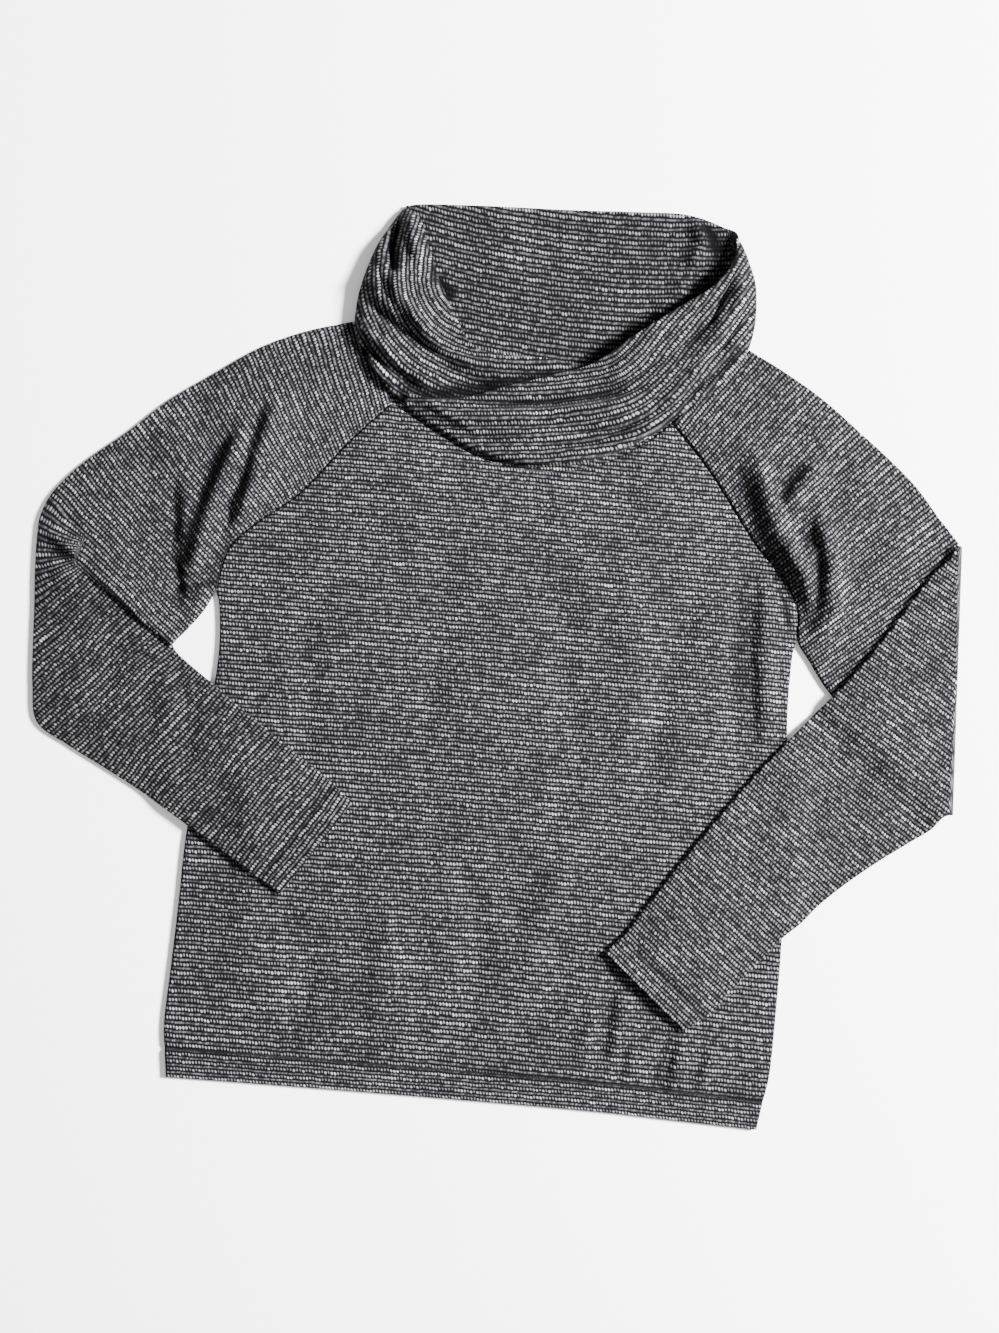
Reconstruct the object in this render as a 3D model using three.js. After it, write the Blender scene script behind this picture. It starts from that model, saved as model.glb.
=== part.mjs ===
// Raglan pullover with a crossover collar, laid flat, front up, millimetres, +Z up
import * as THREE from 'three';

// Cloth
const WALL = 1.5;
const COLLAR_WALL = 2.2;
const SEAM_GAP = 0.35;
const HEM_RAISE = 0.5;

// Heights of the middle of each wall above the floor
const BACK_Z = WALL / 2;
const FRONT_Z = BACK_Z + WALL + SEAM_GAP;
const BODY_LOFT = 3.0;
const SLEEVE_LOFT = 2.6;
const EDGE_ROLL = 1.3;
const REST_GAP = 0.5;

// The whole part is moved so that the middle of its outline is the origin
const MIDDLE_X = -1.55;
const MIDDLE_Y = 14.1;

// Left and right edges of the body, hem to underarm
const BODY_SIDES = [
  { lx: -262.1, ly: -395.0, rx: 272.8, ry: -391.5 },
  { lx: -265.5, ly: -371.0, rx: 276.0, ry: -367.5 },
  { lx: -268.5, ly: -345.0, rx: 280.0, ry: -340.0 },
  { lx: -267.0, ly: -290.0, rx: 280.4, ry: -290.0 },
  { lx: -265.8, ly: -235.0, rx: 279.8, ry: -235.0 },
  { lx: -265.0, ly: -178.0, rx: 277.2, ry: -178.0 },
  { lx: -259.0, ly: -110.0, rx: 272.0, ry: -110.0 },
  { lx: -252.3, ly: -37.0, rx: 266.5, ry: -37.0 },
  { lx: -251.5, ly: 1.1, rx: 264.4, ry: -3.5 },
  { lx: -255.0, ly: 33.0, rx: 264.2, ry: 33.0 },
  { lx: -259.4, ly: 46.5, rx: 266.3, ry: 51.5 },
];

// Raglan seams, underarm to neck, on the front and on the back
const RAGLANS = [
  { lx: -259.4, ly: 46.5, rx: 266.3, ry: 51.5, blx: -259.4, bly: 46.5, brx: 266.3, bry: 51.5 },
  { lx: -252.0, ly: 82.3, rx: 264.0, ry: 78.5, blx: -251.0, bly: 88.0, brx: 261.0, bry: 92.0 },
  { lx: -228.0, ly: 110.0, rx: 249.0, ry: 107.0, blx: -229.0, bly: 128.0, brx: 240.0, bry: 134.0 },
  { lx: -191.7, ly: 140.7, rx: 222.0, ry: 132.5, blx: -196.0, bly: 174.0, brx: 211.0, bry: 180.0 },
  { lx: -151.4, ly: 191.6, rx: 174.0, ry: 195.0, blx: -158.0, bly: 230.0, brx: 176.0, bry: 236.0 },
  { lx: -117.0, ly: 229.2, rx: 136.5, ry: 234.7, blx: -122.0, bly: 284.0, brx: 143.0, bry: 289.0 },
];

// Neck edge, left to right: place across the panel and how far the front and back edges dip
const NECK_DIPS = [
  { across: 0.0, front: 0, back: 0 },
  { across: 0.17, front: -24.0, back: -12 },
  { across: 0.34, front: -44.0, back: -20 },
  { across: 0.54, front: -51.5, back: -23 },
  { across: 0.75, front: -42.0, back: -20 },
  { across: 0.9, front: -21.0, back: -10 },
  { across: 1.0, front: 0, back: 0 },
];

// Hem edge, left to right: how far it stands above the line between its corners
const HEM_RISES = [
  { across: 0.0, rise: 0 },
  { across: 0.23, rise: 1.8 },
  { across: 0.52, rise: 3.3 },
  { across: 0.73, rise: 3.5 },
  { across: 0.85, rise: 2.1 },
  { across: 1.0, rise: 0 },
];

// Sleeve heads, neck to underarm: point on the outer fold, and places down the two raglan seams
const HEAD_RIGHT = [
  { ox: -160.0, oy: 298.0, front: 0, back: 0 },
  { ox: -201.0, oy: 285.5, front: 0.22, back: 0.2 },
  { ox: -241.0, oy: 266.5, front: 0.42, back: 0.4 },
  { ox: -282.0, oy: 237.8, front: 0.6, back: 0.58 },
  { ox: -318.0, oy: 211.7, front: 0.76, back: 0.75 },
  { ox: -349.0, oy: 182.7, front: 0.89, back: 0.89 },
  { ox: -377.0, oy: 159.2, front: 1, back: 1 },
];
const HEAD_LEFT = [
  { ox: 199.2, oy: 306.7, front: 0, back: 0 },
  { ox: 236.0, oy: 288.5, front: 0.2, back: 0.2 },
  { ox: 271.0, oy: 268.0, front: 0.4, back: 0.4 },
  { ox: 305.0, oy: 243.0, front: 0.58, back: 0.58 },
  { ox: 336.0, oy: 219.5, front: 0.74, back: 0.74 },
  { ox: 362.0, oy: 197.0, front: 0.88, back: 0.88 },
  { ox: 385.0, oy: 171.0, front: 1, back: 1 },
];

// Right arm below the underarm, to the crook: outer fold, underarm seam
const ARM_RIGHT = [
  { ox: -401.0, oy: 136.0, ix: -264.0, iy: 34.0 },
  { ox: -417.0, oy: 114.0, ix: -272.0, iy: 20.5 },
  { ox: -423.0, oy: 97.0, ix: -283.0, iy: 6.0 },
];
// The crook's pleat: its upper fold line from the outer fold to the underarm seam
const PLEAT_LINE = { ox: -424.0, oy: 84.0, ix: -293.0, iy: -6.5 };
const PLEAT_START = 0.72;
const PLEAT_FULL = 0.5;
const PLEAT_DEPTH = 20;
const PLEAT_RISE = 4.8;
// Across the pleat: place before the cloth folds, place when folded, share of the depth, of the rise
const PLEAT_FOLD = [
  { open: 7, shut: 8, deep: 0, rise: 1 },
  { open: 5, shut: 2.5, deep: 0, rise: 1 },
  { open: 3, shut: -0.4, deep: 0, rise: 0.93 },
  { open: 1.5, shut: -1.2, deep: 0, rise: 0.76 },
  { open: 0.5, shut: -0.4, deep: 0, rise: 0.57 },
  { open: -0.5, shut: 2, deep: 0, rise: 0.5 },
  { open: -1.5, shut: 0, deep: 0.9, rise: 0.5 },
  { open: -2.5, shut: 0.4, deep: 1, rise: 0.43 },
  { open: -3.5, shut: 1.2, deep: 1, rise: 0.25 },
  { open: -5, shut: 0.4, deep: 1, rise: 0.07 },
  { open: -6.5, shut: 0, deep: 0.9, rise: 0 },
  { open: -9, shut: -4, deep: 0.2, rise: 0 },
];
const FOREARM_RIGHT = [
  { ox: -423.0, oy: 48.0, ix: -286.0, iy: -16.0 },
  { ox: -420.5, oy: 15.0, ix: -277.0, iy: -22.5 },
  { ox: -418.5, oy: -20.0, ix: -266.0, iy: -30.0 },
  { ox: -415.5, oy: -55.0, ix: -254.0, iy: -38.0 },
  { ox: -409.0, oy: -87.0, ix: -240.0, iy: -48.5 },
  { ox: -378.0, oy: -106.0, ix: -222.0, iy: -60.5 },
  { ox: -345.0, oy: -122.5, ix: -205.0, iy: -72.0 },
  { ox: -312.0, oy: -139.5, ix: -188.0, iy: -83.5 },
  { ox: -276.0, oy: -160.0, ix: -170.0, iy: -95.5 },
  { ox: -237.0, oy: -183.5, ix: -152.0, iy: -107.0 },
  { ox: -193.2, oy: -209.3, ix: -135.0, iy: -119.0 },
  { ox: -174.1, oy: -220.2, ix: -118.3, iy: -133.4 },
];

// Left arm below the underarm, to the line where the forearm is folded over
const ARM_LEFT = [
  { ox: 391.0, oy: 165.0, ix: 279.0, iy: 34.0 },
  { ox: 395.0, oy: 160.5, ix: 299.0, iy: 8.0 },
  { ox: 398.5, oy: 157.0, ix: 326.0, iy: -16.0 },
  { ox: 401.0, oy: 154.0, ix: 358.0, iy: -41.5 },
  { ox: 402.5, oy: 152.0, ix: 390.0, iy: -67.0 },
];
const FOLD_LINE = { ox: 406.0, oy: 149.4, ix: 421.0, iy: -92.4 };
const FOLD_RADIUS = 3.2;
const FOLD_STEPS = 6;
const FOREARM_LEFT = [
  { ox: 396.0, oy: 138.5, ix: 402.0, iy: -107.5 },
  { ox: 385.0, oy: 125.0, ix: 382.0, iy: -123.0 },
  { ox: 369.0, oy: 101.0, ix: 361.0, iy: -138.7 },
  { ox: 350.0, oy: 69.5, ix: 341.0, iy: -155.0 },
  { ox: 328.0, oy: 36.5, ix: 323.0, iy: -171.0 },
  { ox: 302.6, oy: 2.9, ix: 308.0, iy: -186.0 },
  { ox: 273.5, oy: -32.5, ix: 295.0, iy: -201.5 },
  { ox: 246.0, oy: -65.8, ix: 280.2, iy: -215.3 },
  { ox: 216.0, oy: -107.0, ix: 264.0, iy: -235.0 },
  { ox: 187.8, oy: -147.4, ix: 250.0, iy: -252.0 },
  { ox: 160.0, oy: -190.0, ix: 236.0, iy: -270.0 },
  { ox: 134.4, oy: -229.3, ix: 223.2, iy: -287.5 },
  { ox: 127.0, oy: -237.5, ix: 210.5, iy: -298.0 },
  { ox: 121.0, oy: -245.0, ix: 198.5, iy: -308.3 },
];

// Creases from end to end through a middle point, with depth (below zero) or height, and half width;
// steep, if given, is the half width to the right of the crease's run
const BODY_CREASES = [
  { x1: 217, y1: 124, x2: 219, y2: 50, x3: 236, y3: -70, lift: -3.0, half: 12 },
  { x1: 234, y1: 112, x2: 237, y2: 40, x3: 245, y3: -30, lift: 3.2, half: 18, steep: 10 },
  { x1: 188, y1: -314, x2: 184, y2: -338, x3: 180, y3: -366, lift: -3.2, half: 9 },
  { x1: 198, y1: -330, x2: 194, y2: -345, x3: 190, y3: -368, lift: 1.8, half: 10, steep: 8 },
  { x1: 131, y1: -272, x2: 129, y2: -308, x3: 127, y3: -347, lift: -2.4, half: 9 },
  { x1: 141, y1: -272, x2: 139, y2: -310, x3: 136, y3: -350, lift: 2.2, half: 11, steep: 8 },
  { x1: 106, y1: -270, x2: 74, y2: -302, x3: 38, y3: -335, lift: -2.0, half: 12 },
  { x1: -230, y1: -348, x2: -150, y2: -358, x3: -60, y3: -358, lift: -1.4, half: 12 },
];
const RIGHT_CREASES = [
  { x1: -216, y1: 230, x2: -231, y2: 168, x3: -240, y3: 104, lift: 8.0, half: 20, steep: 9 },
  { x1: -243, y1: 204, x2: -263, y2: 140, x3: -285, y3: 60, lift: 9.0, half: 11, steep: 10 },
  { x1: -244, y1: 104, x2: -252, y2: 78, x3: -256, y3: 50, lift: 5.0, half: 8, steep: 8 },
  { x1: -299, y1: 150, x2: -293, y2: 112, x3: -291, y3: 76, lift: 4.0, half: 12, steep: 9 },
  { x1: -343, y1: 20, x2: -348, y2: -40, x3: -362, y3: -92, lift: -2.2, half: 14 },
  { x1: -262, y1: 46, x2: -276, y2: 41, x3: -285, y3: 4, lift: 4.5, half: 8, steep: 7 },
  { x1: -430, y1: 78, x2: -404, y2: 70, x3: -376, y3: 54, lift: 2.6, half: 9, steep: 7 },
];
const LEFT_CREASES = [
  { x1: 212, y1: 226, x2: 238, y2: 158, x3: 276, y3: 84, lift: 8.5, half: 13, steep: 13 },
  { x1: 246, y1: 142, x2: 262, y2: 112, x3: 276, y3: 80, lift: 3.4, half: 9, steep: 9 },
  { x1: 272, y1: 214, x2: 254, y2: 190, x3: 243, y3: 164, lift: 5.0, half: 9, steep: 10 },
  { x1: 287, y1: 168, x2: 299, y2: 114, x3: 292, y3: 66, lift: 7.5, half: 14, steep: 9 },
  { x1: 270, y1: 142, x2: 268, y2: 112, x3: 276, y3: 74, lift: 3.4, half: 9, steep: 9 },
];

// Collar sections, from the end of the under lap round the back to the end of the upper lap.
// seam x, y, z; crest x, y, z; height part way up; outward swell; groove depth; how far the edge is
// tucked back under the crest and down; how far the section bows sideways
const COLLAR_COLUMNS = [
  'sx', 'sy', 'sz', 'cx', 'cy', 'cz', 'mid', 'swell', 'groove', 'tuck', 'drop', 'bow',
];
const COLLAR_SECTIONS = [
  [104, 218, 2.9, 78, 262, 7, 6, 0, 0, 8, 2, 0],
  [62, 196, 2.9, 55, 273, 10.5, 6, 0, 0, 9, 5, 0],
  [18, 189, 2.9, 22, 278, 13.5, 6, 0, 0, 10, 6, 0],
  [-28, 194.5, 2.9, -18, 278, 15, 6.5, 0, 0, 11, 6, 0],
  [-70, 209.5, 2.9, -48, 283, 16.5, 9, 0, 0, 12, 7, 0],
  [-104, 227, 2.9, -65, 304, 17.5, 15, 0, 0, 13, 7.5, 2],
  [-125.5, 247, 2.9, -80, 331, 17.5, 18.5, 5, 0, 13, 7.5, 4],
  [-138, 267, 2.9, -95, 364, 15, 19, 8, 0, 11, 7, 7],
  [-146.4, 281, 2.9, -106, 392, 11, 16.5, 10, 0, 6, 3, 11],
  [-153.6, 292.8, 2.9, -119, 400, 5, 9.5, 4, 0, -5, 0, 12],
  [-146, 295.5, 1.4, -121, 399, 1.2, 1.6, 0, 0, -8, 0, 8],
  [-104, 281.5, 1.2, -103, 401, 1.2, 1.2, 0, 0, -9, 0, 0],
  [-44, 268.5, 1.2, -44, 404, 1.2, 1.2, 0, 0, -10, 0, 0],
  [22, 264.5, 1.2, 22, 407, 1.2, 1.2, 0, 0, -10, 0, 0],
  [84, 270.5, 1.2, 84, 411, 1.2, 1.2, 0, 0, -10, 0, 0],
  [132, 286.5, 1.2, 131, 414, 1.3, 1.2, 0, 0, -9, 0, 0],
  [178, 303, 1.4, 166, 404, 1.8, 1.6, 0, 0, -11, 0, -9],
  [190, 301, 2.9, 179, 397, 9, 11, 6, 0, -9, 0, -14],
  [181, 289, 2.9, 174, 378, 19, 19, 9, 0, 6, 6, -13],
  [166, 272, 2.9, 158, 356, 21.5, 22, 9, 0, 13, 8, -9],
  [148.5, 252, 2.9, 131, 335, 22, 23, 6, 0, 14, 8.5, -5],
  [125, 228, 2.9, 94, 306, 21.5, 22, 2, 1, 14, 8.5, 0],
  [89, 204.5, 2.9, 60, 278, 20.5, 21, 0, 2.5, 13, 8, 0],
  [48, 189, 2.9, 22, 263, 19, 19, 0, 4, 12, 7.5, 0],
  [4, 184.5, 2.9, -16, 250, 17.5, 17, 0, 4, 11, 7, 0],
  [-38, 193, 2.9, -48, 238, 15, 14, 0, 3, 9, 6, 0],
  [-76, 210.5, 2.9, -77, 234, 12, 11, 0, 1, 6, 4.5, 0],
  [-105, 226.5, 2.9, -103, 237, 8.5, 8, 0, 0, 3, 2.5, 0],
].map((row) => Object.fromEntries(COLLAR_COLUMNS.map((name, k) => [name, row[k]])));

const v3 = (x, y, z) => new THREE.Vector3(x, y, z);
const mix = (a, b, t) => a + (b - a) * t;

function smooth(from, to, x) {
  const t = Math.min(Math.max((x - from) / (to - from), 0), 1);
  return t * t * (3 - 2 * t);
}

// A smooth curve through one column of a table, place from 0 to 1 along its rows
function column(table, key, place) {
  const last = table.length - 1;
  const s = Math.min(Math.max(place, 0), 1) * last;
  const i = Math.min(Math.floor(s), last - 1);
  const t = s - i;
  const b = table[i][key];
  const c = table[i + 1][key];
  const a = i > 0 ? table[i - 1][key] : 2 * b - c;
  const d = i + 2 <= last ? table[i + 2][key] : 2 * c - b;
  const bend = 2 * a - 5 * b + 4 * c - d + (3 * b - a - 3 * c + d) * t;
  return b + 0.5 * t * (c - a + t * bend);
}

// The same for a column whose rows stand at uneven places, in straight stretches
function between(table, placeKey, key, place) {
  let i = 0;
  while (i < table.length - 2 && table[i + 1][placeKey] < place) i += 1;
  const a = table[i];
  const b = table[i + 1];
  const t = Math.min(Math.max((place - a[placeKey]) / (b[placeKey] - a[placeKey]), 0), 1);
  return mix(a[key], b[key], t);
}

// A closed wall about a grid of points: outer skin, inner skin and a rim on all four edges
function thicken(grid, wall, raise = () => 0) {
  const rows = grid.length;
  const cols = grid[0].length;
  const at = (i, j) =>
    grid[Math.min(Math.max(i, 0), rows - 1)][Math.min(Math.max(j, 0), cols - 1)];
  const points = [];
  const index = [];
  for (const side of [1, -1]) {
    for (let i = 0; i < rows; i += 1) {
      for (let j = 0; j < cols; j += 1) {
        const down = at(i + 1, j).clone().sub(at(i - 1, j));
        const across = at(i, j + 1).clone().sub(at(i, j - 1));
        const normal = down.cross(across).normalize();
        const reach = side * (wall / 2) + (side > 0 ? raise(i, j) : 0);
        const p = at(i, j).clone().addScaledVector(normal, reach);
        points.push(p.x, p.y, p.z);
      }
    }
  }
  const skin = rows * cols;
  const outer = (i, j) => i * cols + j;
  const inner = (i, j) => skin + i * cols + j;
  const quad = (a, b, c, d) => index.push(a, b, c, a, c, d);
  for (let i = 0; i < rows - 1; i += 1) {
    for (let j = 0; j < cols - 1; j += 1) {
      quad(outer(i, j), outer(i + 1, j), outer(i + 1, j + 1), outer(i, j + 1));
      quad(inner(i, j), inner(i, j + 1), inner(i + 1, j + 1), inner(i + 1, j));
    }
  }
  for (let i = 0; i < rows - 1; i += 1) {
    quad(outer(i, 0), inner(i, 0), inner(i + 1, 0), outer(i + 1, 0));
    quad(outer(i, cols - 1), outer(i + 1, cols - 1), inner(i + 1, cols - 1), inner(i, cols - 1));
  }
  for (let j = 0; j < cols - 1; j += 1) {
    quad(outer(0, j), outer(0, j + 1), inner(0, j + 1), inner(0, j));
    quad(outer(rows - 1, j), inner(rows - 1, j), inner(rows - 1, j + 1), outer(rows - 1, j + 1));
  }
  const geometry = new THREE.BufferGeometry();
  geometry.setAttribute('position', new THREE.Float32BufferAttribute(points, 3));
  geometry.setIndex(index);
  geometry.translate(-MIDDLE_X, -MIDDLE_Y, 0);
  geometry.computeVertexNormals();
  return geometry;
}

// Soft troughs and ridges: each follows two straight stretches and fades towards its ends
function relief(table, x, y) {
  let sum = 0;
  for (const c of table) {
    let best = Infinity;
    let along = 0;
    let half = c.half;
    const stretches = [[c.x1, c.y1, c.x2, c.y2, 0], [c.x2, c.y2, c.x3, c.y3, 0.5]];
    for (const [ax, ay, bx, by, start] of stretches) {
      const length2 = (bx - ax) ** 2 + (by - ay) ** 2;
      const t = Math.min(Math.max(((x - ax) * (bx - ax) + (y - ay) * (by - ay)) / length2, 0), 1);
      const off = Math.hypot(x - mix(ax, bx, t), y - mix(ay, by, t));
      if (off < best) {
        best = off;
        along = start + t / 2;
        const toRight = (bx - ax) * (y - ay) - (by - ay) * (x - ax) < 0;
        half = toRight ? (c.steep ?? c.half) : c.half;
      }
    }
    const ends = smooth(0, 0.25, along) * smooth(0, 0.25, 1 - along);
    sum += c.lift * Math.exp(-((best / half) ** 2)) * (0.15 + 0.85 * ends);
  }
  return sum;
}

// Edge of the body at a height y, on the left or right
const EDGES = ['l', 'r'].map((side) => {
  const line = [];
  for (let k = 0; k <= 80; k += 1) {
    line.push({ x: column(BODY_SIDES, side + 'x', k / 80), y: column(BODY_SIDES, side + 'y', k / 80) });
  }
  for (let k = 1; k <= 60; k += 1) {
    line.push({ x: column(RAGLANS, side + 'x', k / 60), y: column(RAGLANS, side + 'y', k / 60) });
  }
  return line;
});
const bodyLeft = (y) => between(EDGES[0], 'y', 'x', y);
const bodyRight = (y) => between(EDGES[1], 'y', 'x', y);

// Middle of the front panel's wall over the floor: it swells softly and comes down to its seams
function frontHeight(x, y) {
  const side = Math.min(x - bodyLeft(y), bodyRight(y) - x) * 0.85;
  const hem = y + 391;
  const across = (x - bodyLeft(230)) / (bodyRight(230) - bodyLeft(230));
  const neck = across > 0 && across < 1 ? 232 + column(NECK_DIPS, 'front', across) - y : 60;
  const edge = Math.min(side, hem, Math.max(neck, 0));
  const swell = smooth(0, 75, side) * smooth(0, 70, hem) * smooth(0, 70, neck);
  const folds = relief(BODY_CREASES, x, y) * smooth(0, 22, edge);
  return FRONT_Z + Math.max(0, BODY_LOFT * swell + folds);
}
const frontTop = (x, y) => frontHeight(x, y) + WALL / 2;

// Grid of a body panel: rows from hem to neck, columns from right to left
function panel(back, rowCounts, cols) {
  const keys = back ? ['blx', 'bly', 'brx', 'bry'] : ['lx', 'ly', 'rx', 'ry'];
  const grid = [];
  const addRow = (ends, rise, fall) => {
    const row = [];
    for (let j = 0; j < cols; j += 1) {
      const c = 1 - j / (cols - 1);
      const x = mix(ends[0] + 0.7, ends[2] - 0.7, c);
      const straight = mix(ends[1], ends[3], c);
      const y = straight + rise * between(HEM_RISES, 'across', 'rise', c)
        + fall * (dip(c, back) - (back ? 0.6 : 1.2));
      row.push(v3(x, y, back ? BACK_Z : frontHeight(x, y)));
    }
    grid.push(row);
  };
  const sideKeys = ['lx', 'ly', 'rx', 'ry'];
  rowCounts.sides.forEach((place) => {
    const ends = sideKeys.map((k) => column(BODY_SIDES, k, place));
    addRow(ends, 1 - smooth(-395, -250, ends[1]), smooth(-120, 232, ends[1]));
  });
  for (let k = 1; k <= rowCounts.raglan; k += 1) {
    const ends = keys.map((key) => column(RAGLANS, key, k / rowCounts.raglan));
    addRow(ends, 0, smooth(-120, back ? 286 : 232, ends[1]));
  }
  return grid;
}
const dip = (c, back) => between(NECK_CURVE, 'across', back ? 'back' : 'front', c);
const NECK_CURVE = Array.from({ length: 49 }, (_, k) => ({
  across: column(NECK_DIPS, 'across', k / 48),
  front: column(NECK_DIPS, 'front', k / 48),
  back: column(NECK_DIPS, 'back', k / 48),
}));

// Height of a sleeve's upper leaf over its lower one, share 0 at the seam to 1 at the outer fold
function leafGap(share, loft, folds = 0) {
  const full = smooth(0, 0.3, share) * smooth(0, 0.3, 1 - share);
  const near = smooth(0, 0.08, share) * smooth(0, 0.16, 1 - share);
  const closed = mix(WALL + SEAM_GAP, 2 * EDGE_ROLL, smooth(0, 0.6, share));
  return Math.max(closed + loft * full + folds * near, WALL + SEAM_GAP);
}

// One section round a sleeve: lower leaf from its seam edge, outer fold, upper leaf to its seam edge
function ring(section, leafSteps, place) {
  const { o, front, back } = section;
  const out = v3(o.x - (front.x + back.x) / 2, o.y - (front.y + back.y) / 2, 0).normalize();
  const inset = EDGE_ROLL + WALL / 2;
  const fold = { x: o.x - out.x * inset, y: o.y - out.y * inset };
  const points = [];
  for (let j = 0; j < leafSteps[0]; j += 1) {
    const share = j / leafSteps[0];
    points.push(place(mix(back.x, fold.x, share), mix(back.y, fold.y, share), 0, share, section));
  }
  for (let j = 0; j <= leafSteps[1]; j += 1) {
    const turn = -Math.PI / 2 + (Math.PI * j) / leafSteps[1];
    const x = fold.x + out.x * EDGE_ROLL * Math.cos(turn);
    const y = fold.y + out.y * EDGE_ROLL * Math.cos(turn);
    points.push(place(x, y, (1 + Math.sin(turn)) / 2, 1, section));
  }
  for (let j = leafSteps[2] - 1; j >= 0; j -= 1) {
    const share = j / leafSteps[2];
    points.push(place(mix(front.x, fold.x, share), mix(front.y, fold.y, share), 1, share, section));
  }
  return points;
}

// Sections of a sleeve's head, its edges a little way outside the raglan seams
function headSections(head, side, steps) {
  const sections = [];
  const away = side === 'l' ? -0.7 : 0.7;
  for (let k = 0; k <= steps; k += 1) {
    const t = k / steps;
    const seam = (prefix, place) => ({
      x: column(RAGLANS, prefix + side + 'x', 1 - place) + away,
      y: column(RAGLANS, prefix + side + 'y', 1 - place),
    });
    sections.push({
      part: 'head',
      full: smooth(0, 0.3, t),
      o: { x: column(head, 'ox', t), y: column(head, 'oy', t) },
      front: seam('', column(head, 'front', t)),
      back: seam('b', column(head, 'back', t)),
    });
  }
  return sections;
}
const closed = (part) => (row) => ({
  part,
  o: { x: row.ox, y: row.oy },
  front: { x: row.ix, y: row.iy },
  back: { x: row.ix, y: row.iy },
});

// Right sleeve: bent at the elbow with a pleat across the crook, its cuff laid on the body
function rightSleeve() {
  const lead = [0.12, 0.42, 0.82];
  const run = v3(PLEAT_LINE.ox - PLEAT_LINE.ix, PLEAT_LINE.oy - PLEAT_LINE.iy, 0).normalize();
  const up = { x: run.y, y: -run.x };
  const sections = [
    ...headSections(HEAD_RIGHT, 'l', 9),
    ...ARM_RIGHT.map((row, k) => ({ ...closed('arm')(row), lead: lead[k] })),
    ...PLEAT_FOLD.map((fold) => ({ ...closed('pleat')(PLEAT_LINE), fold })),
    ...FOREARM_RIGHT.map(closed('forearm')),
  ];
  const place = (x, y, leaf, share, section) => {
    let px = x;
    let py = y;
    let lifted = 0;
    if (section.fold) {
      const { open, shut, deep, rise } = section.fold;
      const start = 1 - smooth(PLEAT_FULL, PLEAT_START, share);
      const full = 1 - smooth(PLEAT_FULL - 0.3, PLEAT_FULL, share);
      const flat = open * (0.3 + 0.7 * share);
      const moved = leaf === 1 ? mix(flat, shut, full) + deep * PLEAT_DEPTH * full : flat;
      px += up.x * moved * (1 - share * share);
      py += up.y * moved;
      lifted = leaf === 1 ? rise * PLEAT_RISE * start : 0;
    }
    if (section.lead && leaf === 1) {
      lifted = section.lead * PLEAT_RISE * (1 - smooth(PLEAT_FULL, PLEAT_START, share));
    }
    const onBody = section.part === 'forearm' ? smooth(-48, -16, px - bodyLeft(py)) : 0;
    const low = BACK_Z + onBody * (frontTop(Math.max(px, bodyLeft(py)), py) + REST_GAP);
    const slack = section.full ?? 1;
    const folds = relief(RIGHT_CREASES, px, py) * slack;
    return v3(px, py, low + leaf * leafGap(share, SLEEVE_LOFT * slack, folds) + lifted);
  };
  const steps = [8, 4, 17];
  const grid = sections.map((section) => ring(section, steps, place));
  const cuffRows = 2;
  const raise = (i, j) => (i >= grid.length - cuffRows && j > steps[0] + 1 ? HEM_RAISE : 0);
  return thicken(grid, WALL, raise);
}

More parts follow.
